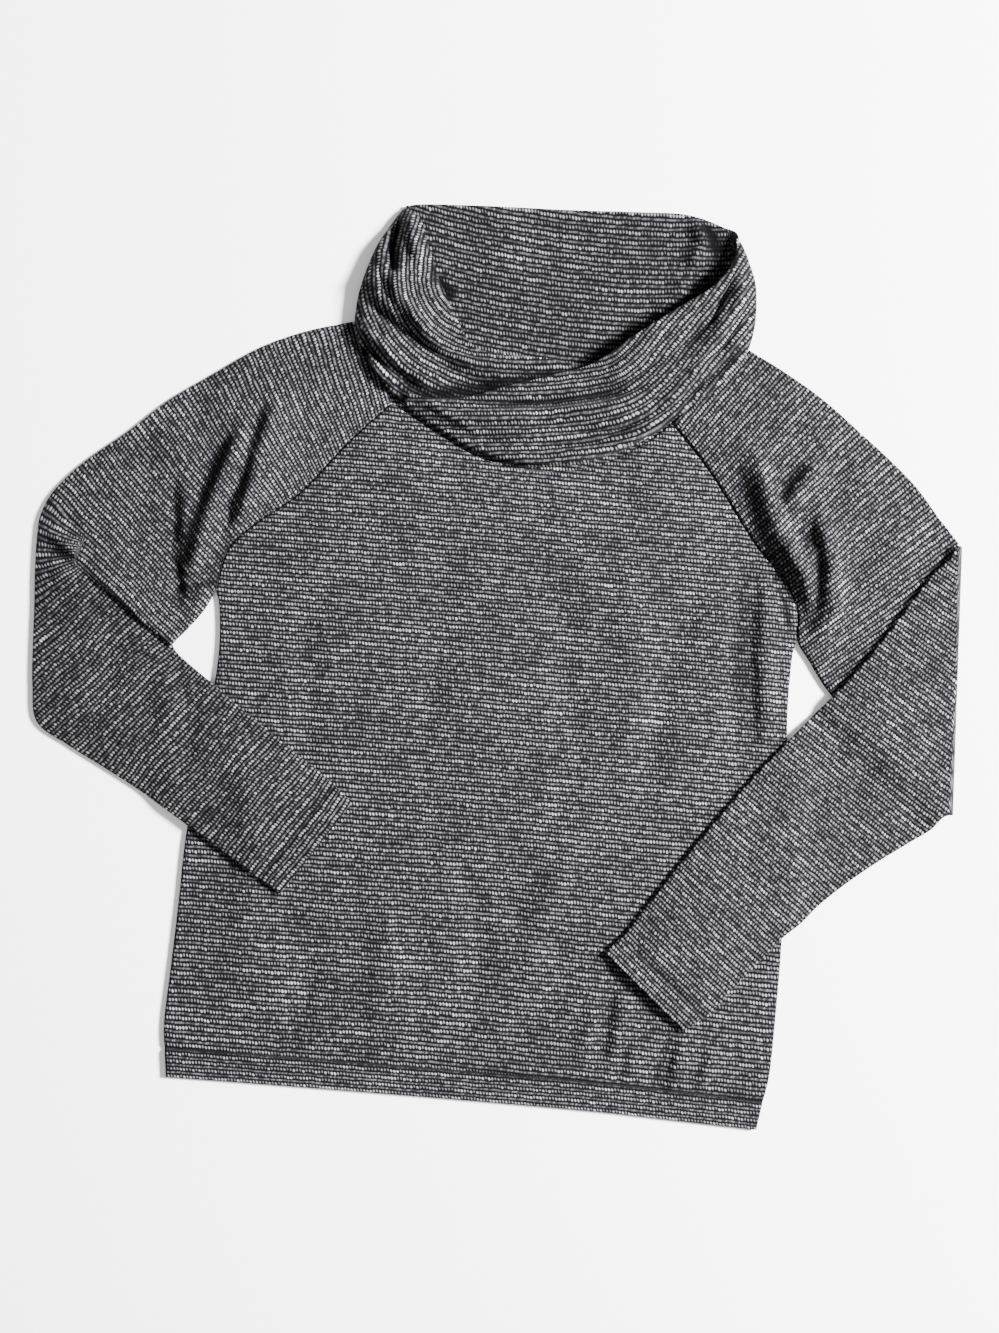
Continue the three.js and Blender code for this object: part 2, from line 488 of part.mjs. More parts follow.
// Left sleeve: the forearm is folded right over on to the upper arm and the body
function leftSleeve() {
  const along = v3(FOLD_LINE.ox - FOLD_LINE.ix, FOLD_LINE.oy - FOLD_LINE.iy, 0).normalize();
  const outward = { x: along.y, y: -along.x };
  const turnRadius = 2 * EDGE_ROLL + FOLD_RADIUS / 2;
  const inset = turnRadius + WALL / 2;
  const axis = {
    ox: FOLD_LINE.ox - outward.x * inset,
    oy: FOLD_LINE.oy - outward.y * inset,
    ix: FOLD_LINE.ix - outward.x * inset,
    iy: FOLD_LINE.iy - outward.y * inset,
  };
  const turns = Array.from({ length: FOLD_STEPS + 1 }, (_, k) => (Math.PI * k) / FOLD_STEPS);
  const sections = [
    ...headSections(HEAD_LEFT, 'r', 9),
    ...ARM_LEFT.map(closed('arm')),
    ...turns.map((turn) => ({ ...closed('turn')(axis), turn })),
    ...FOREARM_LEFT.map(closed('forearm')),
  ];
  // How far a point lies past the forearm's edge, on the side that the forearm covers
  const edge = FOREARM_LEFT[7];
  const edgeRun = v3(FOLD_LINE.ox - edge.ox, FOLD_LINE.oy - edge.oy, 0).normalize();
  const covered = (x, y) => (x - edge.ox) * edgeRun.y - (y - edge.oy) * edgeRun.x;
  const armEdge = [
    { x: RAGLANS[0].rx, y: RAGLANS[0].ry },
    ...ARM_LEFT.map((row) => ({ x: row.ix, y: row.iy })),
    { x: FOLD_LINE.ix, y: FOLD_LINE.iy },
  ];
  const foldGap = 2 * EDGE_ROLL + WALL;
  const support = (x, y) => {
    const onArm = smooth(-26, -3, (y - between(armEdge, 'x', 'y', x)) * 0.78);
    const onBody = smooth(-26, -3, bodyRight(y) - x);
    const body = frontTop(Math.min(x, bodyRight(y)), y);
    return Math.max(onArm * (foldGap + 0.4), onBody * body);
  };
  const centreZ = BACK_Z + turnRadius;
  const place = (x, y, leaf, share, section) => {
    const thin = leafGap(share, 0);
    if (section.part === 'turn') {
      const radius = turnRadius - leaf * thin;
      const reach = radius * Math.sin(section.turn);
      const z = centreZ - radius * Math.cos(section.turn);
      return v3(x + outward.x * reach, y + outward.y * reach, z);
    }
    if (section.part === 'forearm') {
      const fromFold = (axis.ox - x) * outward.x + (axis.oy - y) * outward.y;
      const low = support(x, y) + REST_GAP + WALL / 2;
      const atFold = centreZ + turnRadius - thin;
      const settled = mix(Math.max(low, atFold), low, smooth(0, 34, fromFold));
      const loft = SLEEVE_LOFT * smooth(0, 40, fromFold);
      return v3(x, y, settled + (1 - leaf) * leafGap(share, loft));
    }
    const open = (section.full ?? 1) * (1 - smooth(-45, -8, covered(x, y)));
    const folds = relief(LEFT_CREASES, x, y) * open;
    return v3(x, y, BACK_Z + leaf * leafGap(share, SLEEVE_LOFT * open, folds));
  };
  const steps = [9, 4, 13];
  const grid = sections.map((section) => ring(section, steps, place).reverse());
  const cuffRows = 2;
  const raise = (i, j) => (i >= grid.length - cuffRows && j > steps[2] + 2 ? HEM_RAISE : 0);
  return thicken(grid, WALL, raise);
}

// Collar: one strip, each section rising from the neck seam, swelling outward and rolling over its crest
function collar(stations, steps) {
  const grid = [];
  for (let k = 0; k <= stations; k += 1) {
    const row = (key) => column(COLLAR_SECTIONS, key, k / stations);
    const seam = v3(row('sx'), row('sy'), row('sz'));
    const crest = v3(row('cx'), row('cy'), row('cz'));
    const length = Math.hypot(crest.x - seam.x, crest.y - seam.y);
    const ex = (crest.x - seam.x) / length;
    const ey = (crest.y - seam.y) / length;
    const on = (distance, z, bow = 0) => ({
      x: seam.x + ex * distance - ey * bow * row('bow'),
      y: seam.y + ey * distance + ex * bow * row('bow'),
      z,
    });
    const mid = row('mid');
    const tuck = row('tuck');
    const drop = row('drop');
    const swell = row('swell');
    const profile = [
      on(0, seam.z),
      on(length * 0.02, mix(seam.z, mid, 0.2)),
      on(length * 0.06 - swell, mix(seam.z, mid, 0.48), 0.3),
      on(length * 0.3 - swell * 0.5, mix(seam.z, mid, 0.85) - row('groove'), 0.9),
      on(length * 0.62, mid, 1),
      on(length * 0.86, mix(mid, crest.z, 0.55), 0.6),
      on(length, crest.z - drop * 0.12, 0.25),
      on(length - (tuck > 0 ? 0.35 : 0.5) * tuck, crest.z - drop * 0.75),
      on(length - tuck, crest.z - drop),
    ];
    const line = [];
    for (let j = 0; j <= steps; j += 1) {
      const [x, y, z] = ['x', 'y', 'z'].map((key) => column(profile, key, j / steps));
      line.push(v3(x, y, Math.max(z, COLLAR_WALL / 2)));
    }
    grid.push(line);
  }
  return grid;
}

const HEM_PLACES = [0, 0.05, 0.098, 0.11, 0.15];
const evenly = (from, to, count) =>
  Array.from({ length: count }, (_, k) => mix(from, to, (k + 1) / count));
const frontPlaces = [...HEM_PLACES, ...evenly(HEM_PLACES[4], 1, 14)];
const frontGrid = panel(false, { sides: frontPlaces, raglan: 10 }, 28);
const backGrid = panel(true, { sides: [0, ...evenly(0, 1, 10)], raglan: 10 }, 14);
const hemRaise = (i) => (i < 3 ? HEM_RAISE : 0);

const geometries = {
  back_body: thicken(backGrid, WALL),
  front_body: thicken(frontGrid, WALL, hemRaise),
  sleeve_right: rightSleeve(),
  sleeve_left: leftSleeve(),
  collar: thicken(collar(66, 15), COLLAR_WALL),
};

const sweater = new THREE.Group();
sweater.name = 'pullover';
for (const [name, geometry] of Object.entries(geometries)) {
  const cloth = new THREE.MeshStandardMaterial({ color: 0x55535c, roughness: 0.95 });
  cloth.name = 'striped_knit';
  const mesh = new THREE.Mesh(geometry, cloth);
  mesh.name = name;
  sweater.add(mesh);
}

export default sweater;
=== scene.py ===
import math

import bpy
import numpy as np
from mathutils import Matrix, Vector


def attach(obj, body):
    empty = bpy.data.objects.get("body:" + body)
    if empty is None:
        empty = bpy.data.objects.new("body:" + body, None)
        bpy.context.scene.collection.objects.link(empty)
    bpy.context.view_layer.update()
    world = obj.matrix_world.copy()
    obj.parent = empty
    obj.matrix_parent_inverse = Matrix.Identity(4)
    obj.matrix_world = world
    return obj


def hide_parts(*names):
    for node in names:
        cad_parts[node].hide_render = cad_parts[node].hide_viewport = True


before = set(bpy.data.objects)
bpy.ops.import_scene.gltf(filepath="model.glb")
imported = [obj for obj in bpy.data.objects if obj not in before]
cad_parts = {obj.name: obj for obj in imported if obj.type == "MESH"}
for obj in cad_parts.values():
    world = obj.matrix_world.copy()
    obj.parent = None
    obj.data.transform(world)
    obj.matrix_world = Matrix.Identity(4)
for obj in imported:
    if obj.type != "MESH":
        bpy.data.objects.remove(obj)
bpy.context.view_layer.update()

# Sizes in millimetres: cloth walls, hems, and heights of the walls' middles above the floor
WALL = 1.5
COLLAR_WALL = 2.2
SEAM_GAP = 0.35
HEM_DEPTH = 24
CUFF_DEPTH = 21
HEM_RAISE = 0.5
BACK_Z = WALL / 2
FRONT_Z = BACK_Z + WALL + SEAM_GAP
BODY_LOFT = 3.0
SLEEVE_LOFT = 2.6
EDGE_ROLL = 1.3
REST_GAP = 0.5
# The tables' point that is the part's origin
MIDDLE = np.array([-1.55, 14.1, 0])

# Panels: gap to the seam lines, and the heights that the hem and neck curves start from
SEAM_INSET = 0.5
FRONT_NECK_INSET, BACK_NECK_INSET = 1.2, 0.6
HEM_Y = -391
FRONT_NECK_Y, BACK_NECK_Y = 232, 286
# The front's swell and creases: how far in from side, hem and neck each has its full height
SIDE_SLANT = 0.85
SWELL_SIDE, SWELL_END = 75, 70
CREASE_REACH, RIPPLE_REACH = 22, 30
BODY_RIPPLE, BODY_RIPPLE_LENGTH = 0.35, 34
# A crease's length that fades in at each end, and the share of its lift that is left there
CREASE_FADE = 0.25
CREASE_END = 0.15
# Long sines of laid cloth's uneven swell: turns across and along, start, and size
SWELL_WAVES = ((2.1, 0.7, 0.0, 1.0), (-0.9, 1.3, 1.7, 1.0), (3.1, -1.9, 0.4, 0.6), (2.2, 2.7, 2.6, 0.5))
# Grooves along stitches and seams: depth and half width, and where past the turned edge the stitches run
STITCH_GROOVE, STITCH_GROOVE_HALF, STITCH_GROOVE_AT = 0.9, 2.0, 1.2
# Painted shade along the stitch grooves: its half width, and where past the turned edge it is darkest
STITCH_SHADE_HALF, STITCH_SHADE_AT = 2.5, 1.6
BODY_GROOVE, BODY_GROOVE_HALF = 0.2, 2.4
SLEEVE_GROOVE, SLEEVE_GROOVE_HALF = 0.15, 2.5
# Painted shade: how dark along the cuffs' stitch grooves, over the bent forearm, and the most in a fold
CUFF_STITCH_SHADE_LEFT, CUFF_STITCH_SHADE_RIGHT = 0.75, 0.55
FOREARM_SHADE, FOREARM_SHADE_REACH = 0.22, 90
FOLD_SHADE_LIMIT = 0.95
# Sleeves: uneven swell and its length; where past the body's edge a forearm climbs (below 0, short of it)
SLEEVE_RIPPLE, SLEEVE_RIPPLE_LENGTH = 0.5, 30
RIGHT_CLIMB, LEFT_CLIMB = (-48, -16), (-26, -3)
# Collar: places along the strip where the upper lap begins, the under lap ends, and the rows turn to the back's
# and to the upper lap's; places up a section where it becomes free to fold, and where it ends
UPPER_FROM, UPPER_TO = 0.62, 0.68
UNDER_FROM, UNDER_TO = 0.3, 0.36
TURN_TO_BACK, TURN_TO_UPPER = (0.335, 0.36), (0.6, 0.625)
FREE_FROM, FREE_TO = (0.08, 0.2), (0.86, 0.96)
# Grids: distance between a sleeve's rows, also by the cuff; sections of a head; points round leaves and fold
ROW_STEP, CUFF_STEP = 3.6, 1.6
HEAD_ROWS = 19
RIGHT_ROUND = (34, 7, 50)
LEFT_ROUND = (40, 7, 44)
CURVE_POINTS = 400

# Knit: height of one striped repeat and length of one bead along it
ROW_PITCH = 7.3
BEAD_PITCH = 2.85
# How far the rows wander, slowly and quickly; half heights of bead and fine row as shares of a repeat
ROW_DRIFT, ROW_WOBBLE = 0.8, 0.95
BEAD_HALF, FINE_HALF = 0.215, 0.145
# Share of a bead that each row starts on by, and that a bead leans by; how unevenly beads sit and measure
ROW_START, BEAD_LEAN, BEAD_JOG = 0.37, 0.55, 0.12
# Brightness of beads: the dimmest, and how many times that the brightest
BEAD_DIM, BEAD_RANGE = 0.024, 26.0

# Studio, in metres: the floor, the lamps (place, size, watts) and the surround's strength
FLOOR_HALF, FLOOR_GAP = 4, 0.0003
LAMPS = (("window_lamp", (3.3, 1.05, 2.15), 0.85, 2050.0), ("fill_lamp", (-1.2, -0.9, 2.0), 1.6, 10.0))
SURROUND = 0.6
# Camera: lens, place in metres, and the angle in degrees that the garment lies turned by in the picture
LENS_MM, SENSOR_MM = 48, 36
EYE = (0.00365, -0.0125, 1.604)
LIE_ANGLE = 5.5

# Left and right edges of the body, hem to underarm: lx, ly, rx, ry
BODY_SIDES = np.array([
    (-262.1, -395, 272.8, -391.5),
    (-265.5, -371, 276, -367.5),
    (-268.5, -345, 280, -340),
    (-267, -290, 280.4, -290),
    (-265.8, -235, 279.8, -235),
    (-265, -178, 277.2, -178),
    (-259, -110, 272, -110),
    (-252.3, -37, 266.5, -37),
    (-251.5, 1.1, 264.4, -3.5),
    (-255, 33, 264.2, 33),
    (-259.4, 46.5, 266.3, 51.5),
])
# Raglan seams, underarm to neck: front left, front right, back left, back right, x and y of each
RAGLANS = np.array([
    (-259.4, 46.5, 266.3, 51.5, -259.4, 46.5, 266.3, 51.5),
    (-252, 82.3, 264, 78.5, -251, 88, 261, 92),
    (-228, 110, 249, 107, -229, 128, 240, 134),
    (-191.7, 140.7, 222, 132.5, -196, 174, 211, 180),
    (-151.4, 191.6, 174, 195, -158, 230, 176, 236),
    (-117, 229.2, 136.5, 234.7, -122, 284, 143, 289),
])
# Neck edge: place across, dip of the front, dip of the back
NECK_DIPS = np.array([
    (0, 0, 0), (0.17, -24, -12), (0.34, -44, -20), (0.54, -51.5, -23),
    (0.75, -42, -20), (0.9, -21, -10), (1, 0, 0),
])
# Hem edge: place across, rise over the line between its corners
HEM_RISES = np.array([(0, 0), (0.23, 1.8), (0.52, 3.3), (0.73, 3.5), (0.85, 2.1), (1, 0)])
# Sleeve heads, neck to underarm: outer fold x and y, places down the front and back raglan seams
HEAD_RIGHT = np.array([
    (-160, 298, 0, 0), (-201, 285.5, 0.22, 0.2), (-241, 266.5, 0.42, 0.4),
    (-282, 237.8, 0.6, 0.58), (-318, 211.7, 0.76, 0.75), (-349, 182.7, 0.89, 0.89),
    (-377, 159.2, 1, 1),
])
HEAD_LEFT = np.array([
    (199.2, 306.7, 0, 0), (236, 288.5, 0.2, 0.2), (271, 268, 0.4, 0.4),
    (305, 243, 0.58, 0.58), (336, 219.5, 0.74, 0.74), (362, 197, 0.88, 0.88),
    (385, 171, 1, 1),
])
# Arms and forearms: outer fold x and y, underarm seam x and y
ARM_RIGHT = np.array([
    (-401, 136, -264, 34), (-417, 114, -272, 20.5), (-423, 97, -283, 6),
])
PLEAT_LINE = np.array([-424, 84, -293, -6.5])
PLEAT_START = 0.72
PLEAT_FULL = 0.5
PLEAT_DEPTH = 20.0
PLEAT_RISE = 4.8
# Across the pleat: place while open, place when folded, share of the depth, share of the rise
PLEAT_FOLD = np.array([
    (7, 8, 0, 1), (5, 2.5, 0, 1), (3, -0.4, 0, 0.93), (1.5, -1.2, 0, 0.76), (0.5, -0.4, 0, 0.57),
    (-0.5, 2, 0, 0.5), (-1.5, 0, 0.9, 0.5), (-2.5, 0.4, 1, 0.43), (-3.5, 1.2, 1, 0.25),
    (-5, 0.4, 1, 0.07), (-6.5, 0, 0.9, 0), (-9, -4, 0.2, 0),
])
FOREARM_RIGHT = np.array([
    (-423, 48, -286, -16), (-420.5, 15, -277, -22.5), (-418.5, -20, -266, -30),
    (-415.5, -55, -254, -38), (-409, -87, -240, -48.5), (-378, -106, -222, -60.5),
    (-345, -122.5, -205, -72), (-312, -139.5, -188, -83.5), (-276, -160, -170, -95.5),
    (-237, -183.5, -152, -107), (-193.2, -209.3, -135, -119), (-174.1, -220.2, -118.3, -133.4),
])
ARM_LEFT = np.array([
    (391, 165, 279, 34), (395, 160.5, 299, 8), (398.5, 157, 326, -16),
    (401, 154, 358, -41.5), (402.5, 152, 390, -67),
])
FOLD_LINE = np.array([406, 149.4, 421, -92.4])
FOLD_RADIUS = 3.2
FOREARM_LEFT = np.array([
    (396, 138.5, 402, -107.5), (385, 125, 382, -123), (369, 101, 361, -138.7),
    (350, 69.5, 341, -155), (328, 36.5, 323, -171), (302.6, 2.9, 308, -186),
    (273.5, -32.5, 295, -201.5), (246, -65.8, 280.2, -215.3), (216, -107, 264, -235),
    (187.8, -147.4, 250, -252), (160, -190, 236, -270), (134.4, -229.3, 223.2, -287.5),
    (127, -237.5, 210.5, -298), (121, -245, 198.5, -308.3),
])
# Creases: x and y of three points; lift, below zero a trough; half width, or those left and right of the run
BODY_CREASES = [
    (217, 124, 219, 50, 236, -70, -3, 12), (234, 112, 237, 40, 250, -60, 5, 18, 10),
    (188, -312, 184, -336, 180, -366, -3.4, 8), (199, -318, 195, -340, 190, -368, 2.6, 12, 6),
    (131, -272, 129, -308, 127, -347, -2.6, 8), (141, -272, 139, -310, 136, -350, 2.2, 11, 6),
    (106, -270, 74, -302, 38, -335, -2, 12), (-230, -348, -150, -358, -60, -358, -1.4, 12),
]
RIGHT_CREASES = [
    (-216, 230, -231, 168, -240, 104, 8.5, 20, 8), (-243, 204, -263, 140, -285, 60, 9.5, 11, 9),
    (-234, 144, -246, 98, -256, 48, 7, 7, 8), (-262, 116, -274, 84, -283, 56, 4, 6, 6),
    (-299, 150, -293, 112, -291, 76, 4.5, 12, 7), (-343, 20, -348, -40, -362, -92, -2.2, 14),
    (-268, 52, -271, 22, -286, -8, 6, 12, 4.5), (-292, 46, -276, 47, -252, 50, 4, 3.5, 9),
    (-430, 88, -404, 77, -374, 60, 5, 8, 4.5), (-424, 60, -402, 52, -384, 42, 2.6, 4, 9),
]
LEFT_CREASES = [
    (208, 226, 237, 152, 276, 88, 9.5, 9, 12), (246, 142, 262, 112, 276, 80, 4, 8, 6),
    (274, 216, 256, 190, 243, 164, 7.5, 9, 7), (272, 172, 290, 120, 288, 66, 8.5, 12, 6),
    (300, 104, 298, 76, 276, 54, 6, 10, 7), (270, 142, 268, 112, 276, 74, 4, 9, 6),
    (246, 98, 256, 84, 264, 60, 4, 5, 4),
]
# Finer creases, in the same columns
BODY_FINE = [
    (213, 60, 214, 0, 222, -70, -2, 7), (150, -318, 146, -338, 144, -366, -2.4, 5),
    (240, -345, 228, -356, 212, -368, -2.2, 5), (248, -300, 251, -335, 246, -366, -2, 6),
    (60, -262, 40, -290, 14, -312, -2.4, 8), (172, 100, 150, -20, 138, -110, -2.6, 12),
    (50, 90, 64, 0, 78, -80, -2.4, 14), (-60, 120, -50, 20, -66, -80, -2.4, 15),
    (-180, 60, -165, -60, -150, -160, -2.4, 14), (-210, -250, -130, -262, -40, -250, -2.2, 13),
    (20, -200, 60, -240, 100, -250, -2.4, 12), (-90, -200, -70, -270, -80, -340, 3.4, 15),
    (-20, -160, 8, -240, 6, -330, -2.8, 13), (88, -150, 60, -210, 52, -300, 3.2, 13),
    (-226, -80, -200, -180, -206, -300, 2.6, 16), (228, -318, 222, -340, 216, -366, 2.6, 6),
    (120, -286, 112, -316, 110, -350, 2.6, 7), (-160, -240, -140, -300, -150, -350, -2.6, 12),
    (-60, 170, -10, 150, 60, 156, 2, 14), (110, 120, 118, 20, 124, -80, 2.2, 14),
]
# Collar sections from the end of the under lap round the back to the end of the upper lap: seam x, y, z;
# crest x, y, z; height part way up; swell; groove; tuck under the crest and down; sideways bow
COLLAR_SECTIONS = np.array([
    (104, 218, 2.9, 78, 262, 7, 6, 0, 0, 8, 2, 0), (62, 196, 2.9, 55, 273, 10.5, 6, 0, 0, 9, 5, 0),
    (18, 189, 2.9, 22, 278, 13.5, 6, 0, 0, 10, 6, 0), (-28, 194.5, 2.9, -18, 278, 15, 6.5, 0, 0, 11, 6, 0),
    (-70, 209.5, 2.9, -48, 283, 16.5, 9, 0, 0, 12, 7, 0), (-104, 227, 2.9, -65, 304, 17.5, 15, 0, 0, 13, 7.5, 2),
    (-125.5, 247, 2.9, -80, 331, 17.5, 18.5, 5, 0, 13, 7.5, 4), (-138, 267, 2.9, -95, 364, 15, 19, 8, 0, 11, 7, 7),
    (-146.4, 281, 2.9, -106, 392, 11, 16.5, 10, 0, 6, 3, 11),
    (-153.6, 292.8, 2.9, -119, 400, 5, 9.5, 4, 0, -5, 0, 12),
    (-146, 295.5, 1.4, -121, 399, 1.2, 1.6, 0, 0, -8, 0, 8), (-104, 281.5, 1.2, -103, 401, 1.2, 1.2, 0, 0, -9, 0, 0),
    (-44, 268.5, 1.2, -44, 404, 1.2, 1.2, 0, 0, -10, 0, 0), (22, 264.5, 1.2, 22, 407, 1.2, 1.2, 0, 0, -10, 0, 0),
    (84, 270.5, 1.2, 84, 411, 1.2, 1.2, 0, 0, -10, 0, 0), (132, 286.5, 1.2, 131, 414, 1.3, 1.2, 0, 0, -9, 0, 0),
    (178, 303, 1.4, 166, 404, 1.8, 1.6, 0, 0, -11, 0, -9), (190, 301, 2.9, 179, 397, 9, 11, 6, 0, -9, 0, -14),
    (181, 289, 2.9, 174, 378, 19, 19, 9, 0, 6, 6, -13), (166, 272, 2.9, 158, 356, 21.5, 22, 9, 0, 13, 8, -9),
    (148.5, 252, 2.9, 131, 335, 22, 23, 6, 0, 14, 8.5, -5), (125, 228, 2.9, 94, 306, 21.5, 22, 2, 1, 14, 8.5, 0),
    (89, 204.5, 2.9, 60, 278, 20.5, 21, 0, 2.5, 13, 8, 0), (48, 189, 2.9, 22, 263, 19, 19, 0, 4, 12, 7.5, 0),
    (4, 184.5, 2.9, -16, 250, 17.5, 17, 0, 4, 11, 7, 0), (-38, 193, 2.9, -48, 238, 15, 14, 0, 3, 9, 6, 0),
    (-76, 210.5, 2.9, -77, 234, 12, 11, 0, 1, 6, 4.5, 0), (-105, 226.5, 2.9, -103, 237, 8.5, 8, 0, 0, 3, 2.5, 0),
])

# Where the right sleeve's rows point, and their gather at the pleat's end: place, degrees, millimetres of rows
ARM_ROW = (-301.9, 177.1)
ARM_CENTRE = (323, -504.9)
SHOULDER_CENTRE = (42.7, -198.9)
FOREARM_CENTRE = (931, 1502)
GATHER = (-363, 70)
GATHER_FROM, GATHER_TO, GATHER_END, GATHER_SPAN = 141, 227.5, 321, 62
# Where the left sleeve's rows point
LEFT_ARM_CENTRE = (-460.2, -642.7)
LEFT_FOREARM_CENTRE = (-1900, 1420)

# Rows of the collar's two laps
UNDER_ROW = np.array([
    (-128, 420), (-136, 360), (-130, 315), (-104, 280), (-66, 262), (-20, 258), (60, 266), (110, 272),
])
UPPER_ROW = np.array([
    (190, 430), (184, 390), (160, 345), (132, 305), (108, 272), (80, 252), (20, 238), (-47, 231), (-120, 228),
])

# Finer creases of the sleeves
RIGHT_FINE = [
    (-304, 146, -299, 110, -298, 72, -2.6, 7), (-300, 72, -293, 50, -282, 14, -4, 5),
    (-259, 120, -277, 76, -288, 50, 1.6, 6), (-405, 112, -398, 98, -388, 74, -1.8, 9),
    (-282, -26, -268, -64, -272, -124, -3.2, 9), (-303, -16, -292, -60, -296, -110, 2.4, 9),
    (-300, 230, -286, 200, -280, 176, -1.4, 12), (-340, 190, -330, 160, -322, 130, -1.4, 12),
    (-380, 20, -350, 10, -320, 24, -1.6, 9), (-400, -20, -370, -36, -330, -40, -1.2, 11),
    (-330, 60, -318, 90, -312, 130, 1.4, 12), (-205, 240, -196, 214, -190, 190, -1.4, 9),
]
LEFT_FINE = [
    (250, 92, 262, 74, 266, 56, -2.4, 6), (208, 214, 216, 240, 240, 268, -1.6, 8),
    (352, 96, 320, 66, 300, 50, -2, 10), (300, 230, 290, 190, 286, 170, -1.2, 12),
    (340, 190, 326, 150, 318, 110, -1.2, 12), (310, 120, 306, 90, 300, 66, -1.8, 7),
]
FOREARM_FINE = [
    (328, 3, 306, -66, 287, -137, -1.8, 12), (349, -31, 332, -82, 314, -134, -1.8, 10),
    (250, -90, 236, -130, 222, -172, -0.8, 12), (390, 60, 372, 20, 356, -20, -0.7, 14),
]
# Painted shade along the deep sides of folds, the lift being how dark
BODY_FOLD_SHADE = [
    (213, 122, 216, 50, 228, -40, 0.45, 9), (185, -312, 181, -336, 176, -366, 0.6, 5),
    (128, -276, 126, -310, 124, -346, 0.4, 5), (150, -318, 146, -338, 144, -366, 0.35, 4),
    (244, 98, 253, 82, 260, 56, 1.0, 3),
]
RIGHT_FOLD_SHADE = [
    (-226, 218, -236, 172, -246, 112, 0.7, 5), (-249, 204, -270, 146, -292, 62, 0.85, 6),
    (-246, 104, -256, 78, -262, 48, 0.7, 5), (-297, 80, -291, 56, -286, 14, 0.9, 6),
    (-412, 72, -398, 64, -386, 54, 0.8, 4), (-300, 126, -296, 104, -296, 80, 0.5, 5),
    (-288, 45, -270, 50, -250, 53, 1.1, 2.6), (-270, -40, -264, -70, -268, -108, 0.35, 9),
    (-352, 6, -350, -30, -364, -76, 0.3, 10),
]
LEFT_FOLD_SHADE = [
    (199, 212, 223, 146, 256, 84, 0.7, 7), (263, 214, 248, 190, 237, 168, 0.85, 6),
    (262, 158, 280, 120, 279, 76, 0.8, 5), (248, 92, 258, 76, 264, 60, 0.85, 5),
]
# Folds of the collar's two laps and behind the neck, and where painted shade darkens the knit in them
UPPER_LAP = [
    (188, 378, 183, 332, 147, 284, 3.2, 7), (147, 284, 88, 242, 17, 226, 3.2, 7, 5),
    (17, 226, -20, 221, -63, 218, 2.6, 5), (195, 351, 172, 304, 122, 263, -4.4, 5),
    (122, 263, 34, 241, -47, 231, -4.4, 4), (200, 320, 170, 281, 133, 248, -3.8, 4),
    (133, 248, 90, 224, 36, 214, -3.8, 4), (-96, 236, -40, 210, 60, 212, 1.6, 4),
    (60, 212, 130, 250, 180, 320, 1.8, 5), (176, 368, 160, 325, 128, 292, -3.2, 4),
    (128, 292, 84, 262, 40, 250, -2.4, 4), (108, 236, 70, 210, 20, 200, -2.6, 3.5),
    (118, 318, 96, 290, 74, 270, 2.4, 5), (160, 300, 140, 270, 118, 244, 2, 5),
    (-20, 240, 10, 238, 52, 252, -2, 4), (40, 232, 76, 240, 104, 262, 1.8, 4),
]
UNDER_LAP = [
    (-136, 360, -119, 321, -78, 280, 3.4, 7), (-78, 280, -41, 264, -10, 262, 2, 6),
    (-150, 318, -116, 294, -68, 267, -4, 5), (-159, 286, -126, 262, -83, 236, -3.8, 5),
    (-127, 394, -130, 366, -126, 336, -7, 4.5), (-98, 354, -84, 344, -70, 332, -5, 6),
    (-148, 345, -134, 322, -110, 300, 2.4, 5), (-155, 300, -136, 280, -112, 262, 2.6, 5),
    (-117, 400, -112, 376, -104, 352, 3.2, 5), (-122, 237, -78, 240, -26, 254, -5.5, 7),
    (-82, 268, -20, 272, 52, 279, 3.4, 6), (-140, 340, -122, 312, -96, 290, -2.6, 3.5),
]
NECK_FOLDS = [
    (138, 420, 148, 398, 138, 372, 6, 5, 7), (141, 364, 128, 346, 108, 326, 5, 5, 8),
    (-96, 372, -80, 340, -60, 318, 2.2, 8), (100, 392, 80, 360, 64, 330, -1, 16),
    (-40, 396, -20, 350, 10, 320, 1.6, 22),
]
UNDER_FOLD_SHADE = [
    (-104, 232, -50, 243, 18, 266, 1.7, 7), (-125, 396, -129, 366, -126, 334, 1.2, 4.5),
    (2, 259, 32, 268, 62, 279, 1.1, 5), (-95, 346, -82, 337, -68, 328, 1, 5),
]
NECK_SHADE = [
    (140, 420, 156, 404, 166, 386, 0.9, 7), (-95, 346, -82, 337, -66, 328, 1.1, 6),
    (164, 372, 146, 346, 118, 322, 0.6, 10), (112, 318, 84, 298, 50, 284, 0.5, 8),
]


def smooth(start, end, x):
    """Rises from 0 at start to 1 at end, level at both: 3 t squared less 2 t cubed."""
    t = np.clip((x - start) / (end - start), 0, 1)
    return t * t * (3 - 2 * t)


def mix(a, b, t):
    """The straight line from a at t = 0 to b at t = 1."""
    return a + (b - a) * t


def curve(rows, place):
    """Catmull-Rom curve through the rows of a table, place from 0 to 1 along them."""
    rows = np.asarray(rows, float)
    flat = rows.reshape(len(rows), -1)
    last = len(rows) - 1
    s = np.clip(place, 0, 1) * last
    i = np.minimum(s.astype(int), last - 1)
    t = (s - i)[..., None]
    padded = np.vstack([2 * flat[0] - flat[1], flat, 2 * flat[-1] - flat[-2]])
    a, b, c, d = (padded[i + k] for k in range(4))
    bend = 2 * a - 5 * b + 4 * c - d + (3 * b - a - 3 * c + d) * t
    out = b + 0.5 * t * (c - a + t * bend)
    return out.reshape(place.shape + rows.shape[1:])


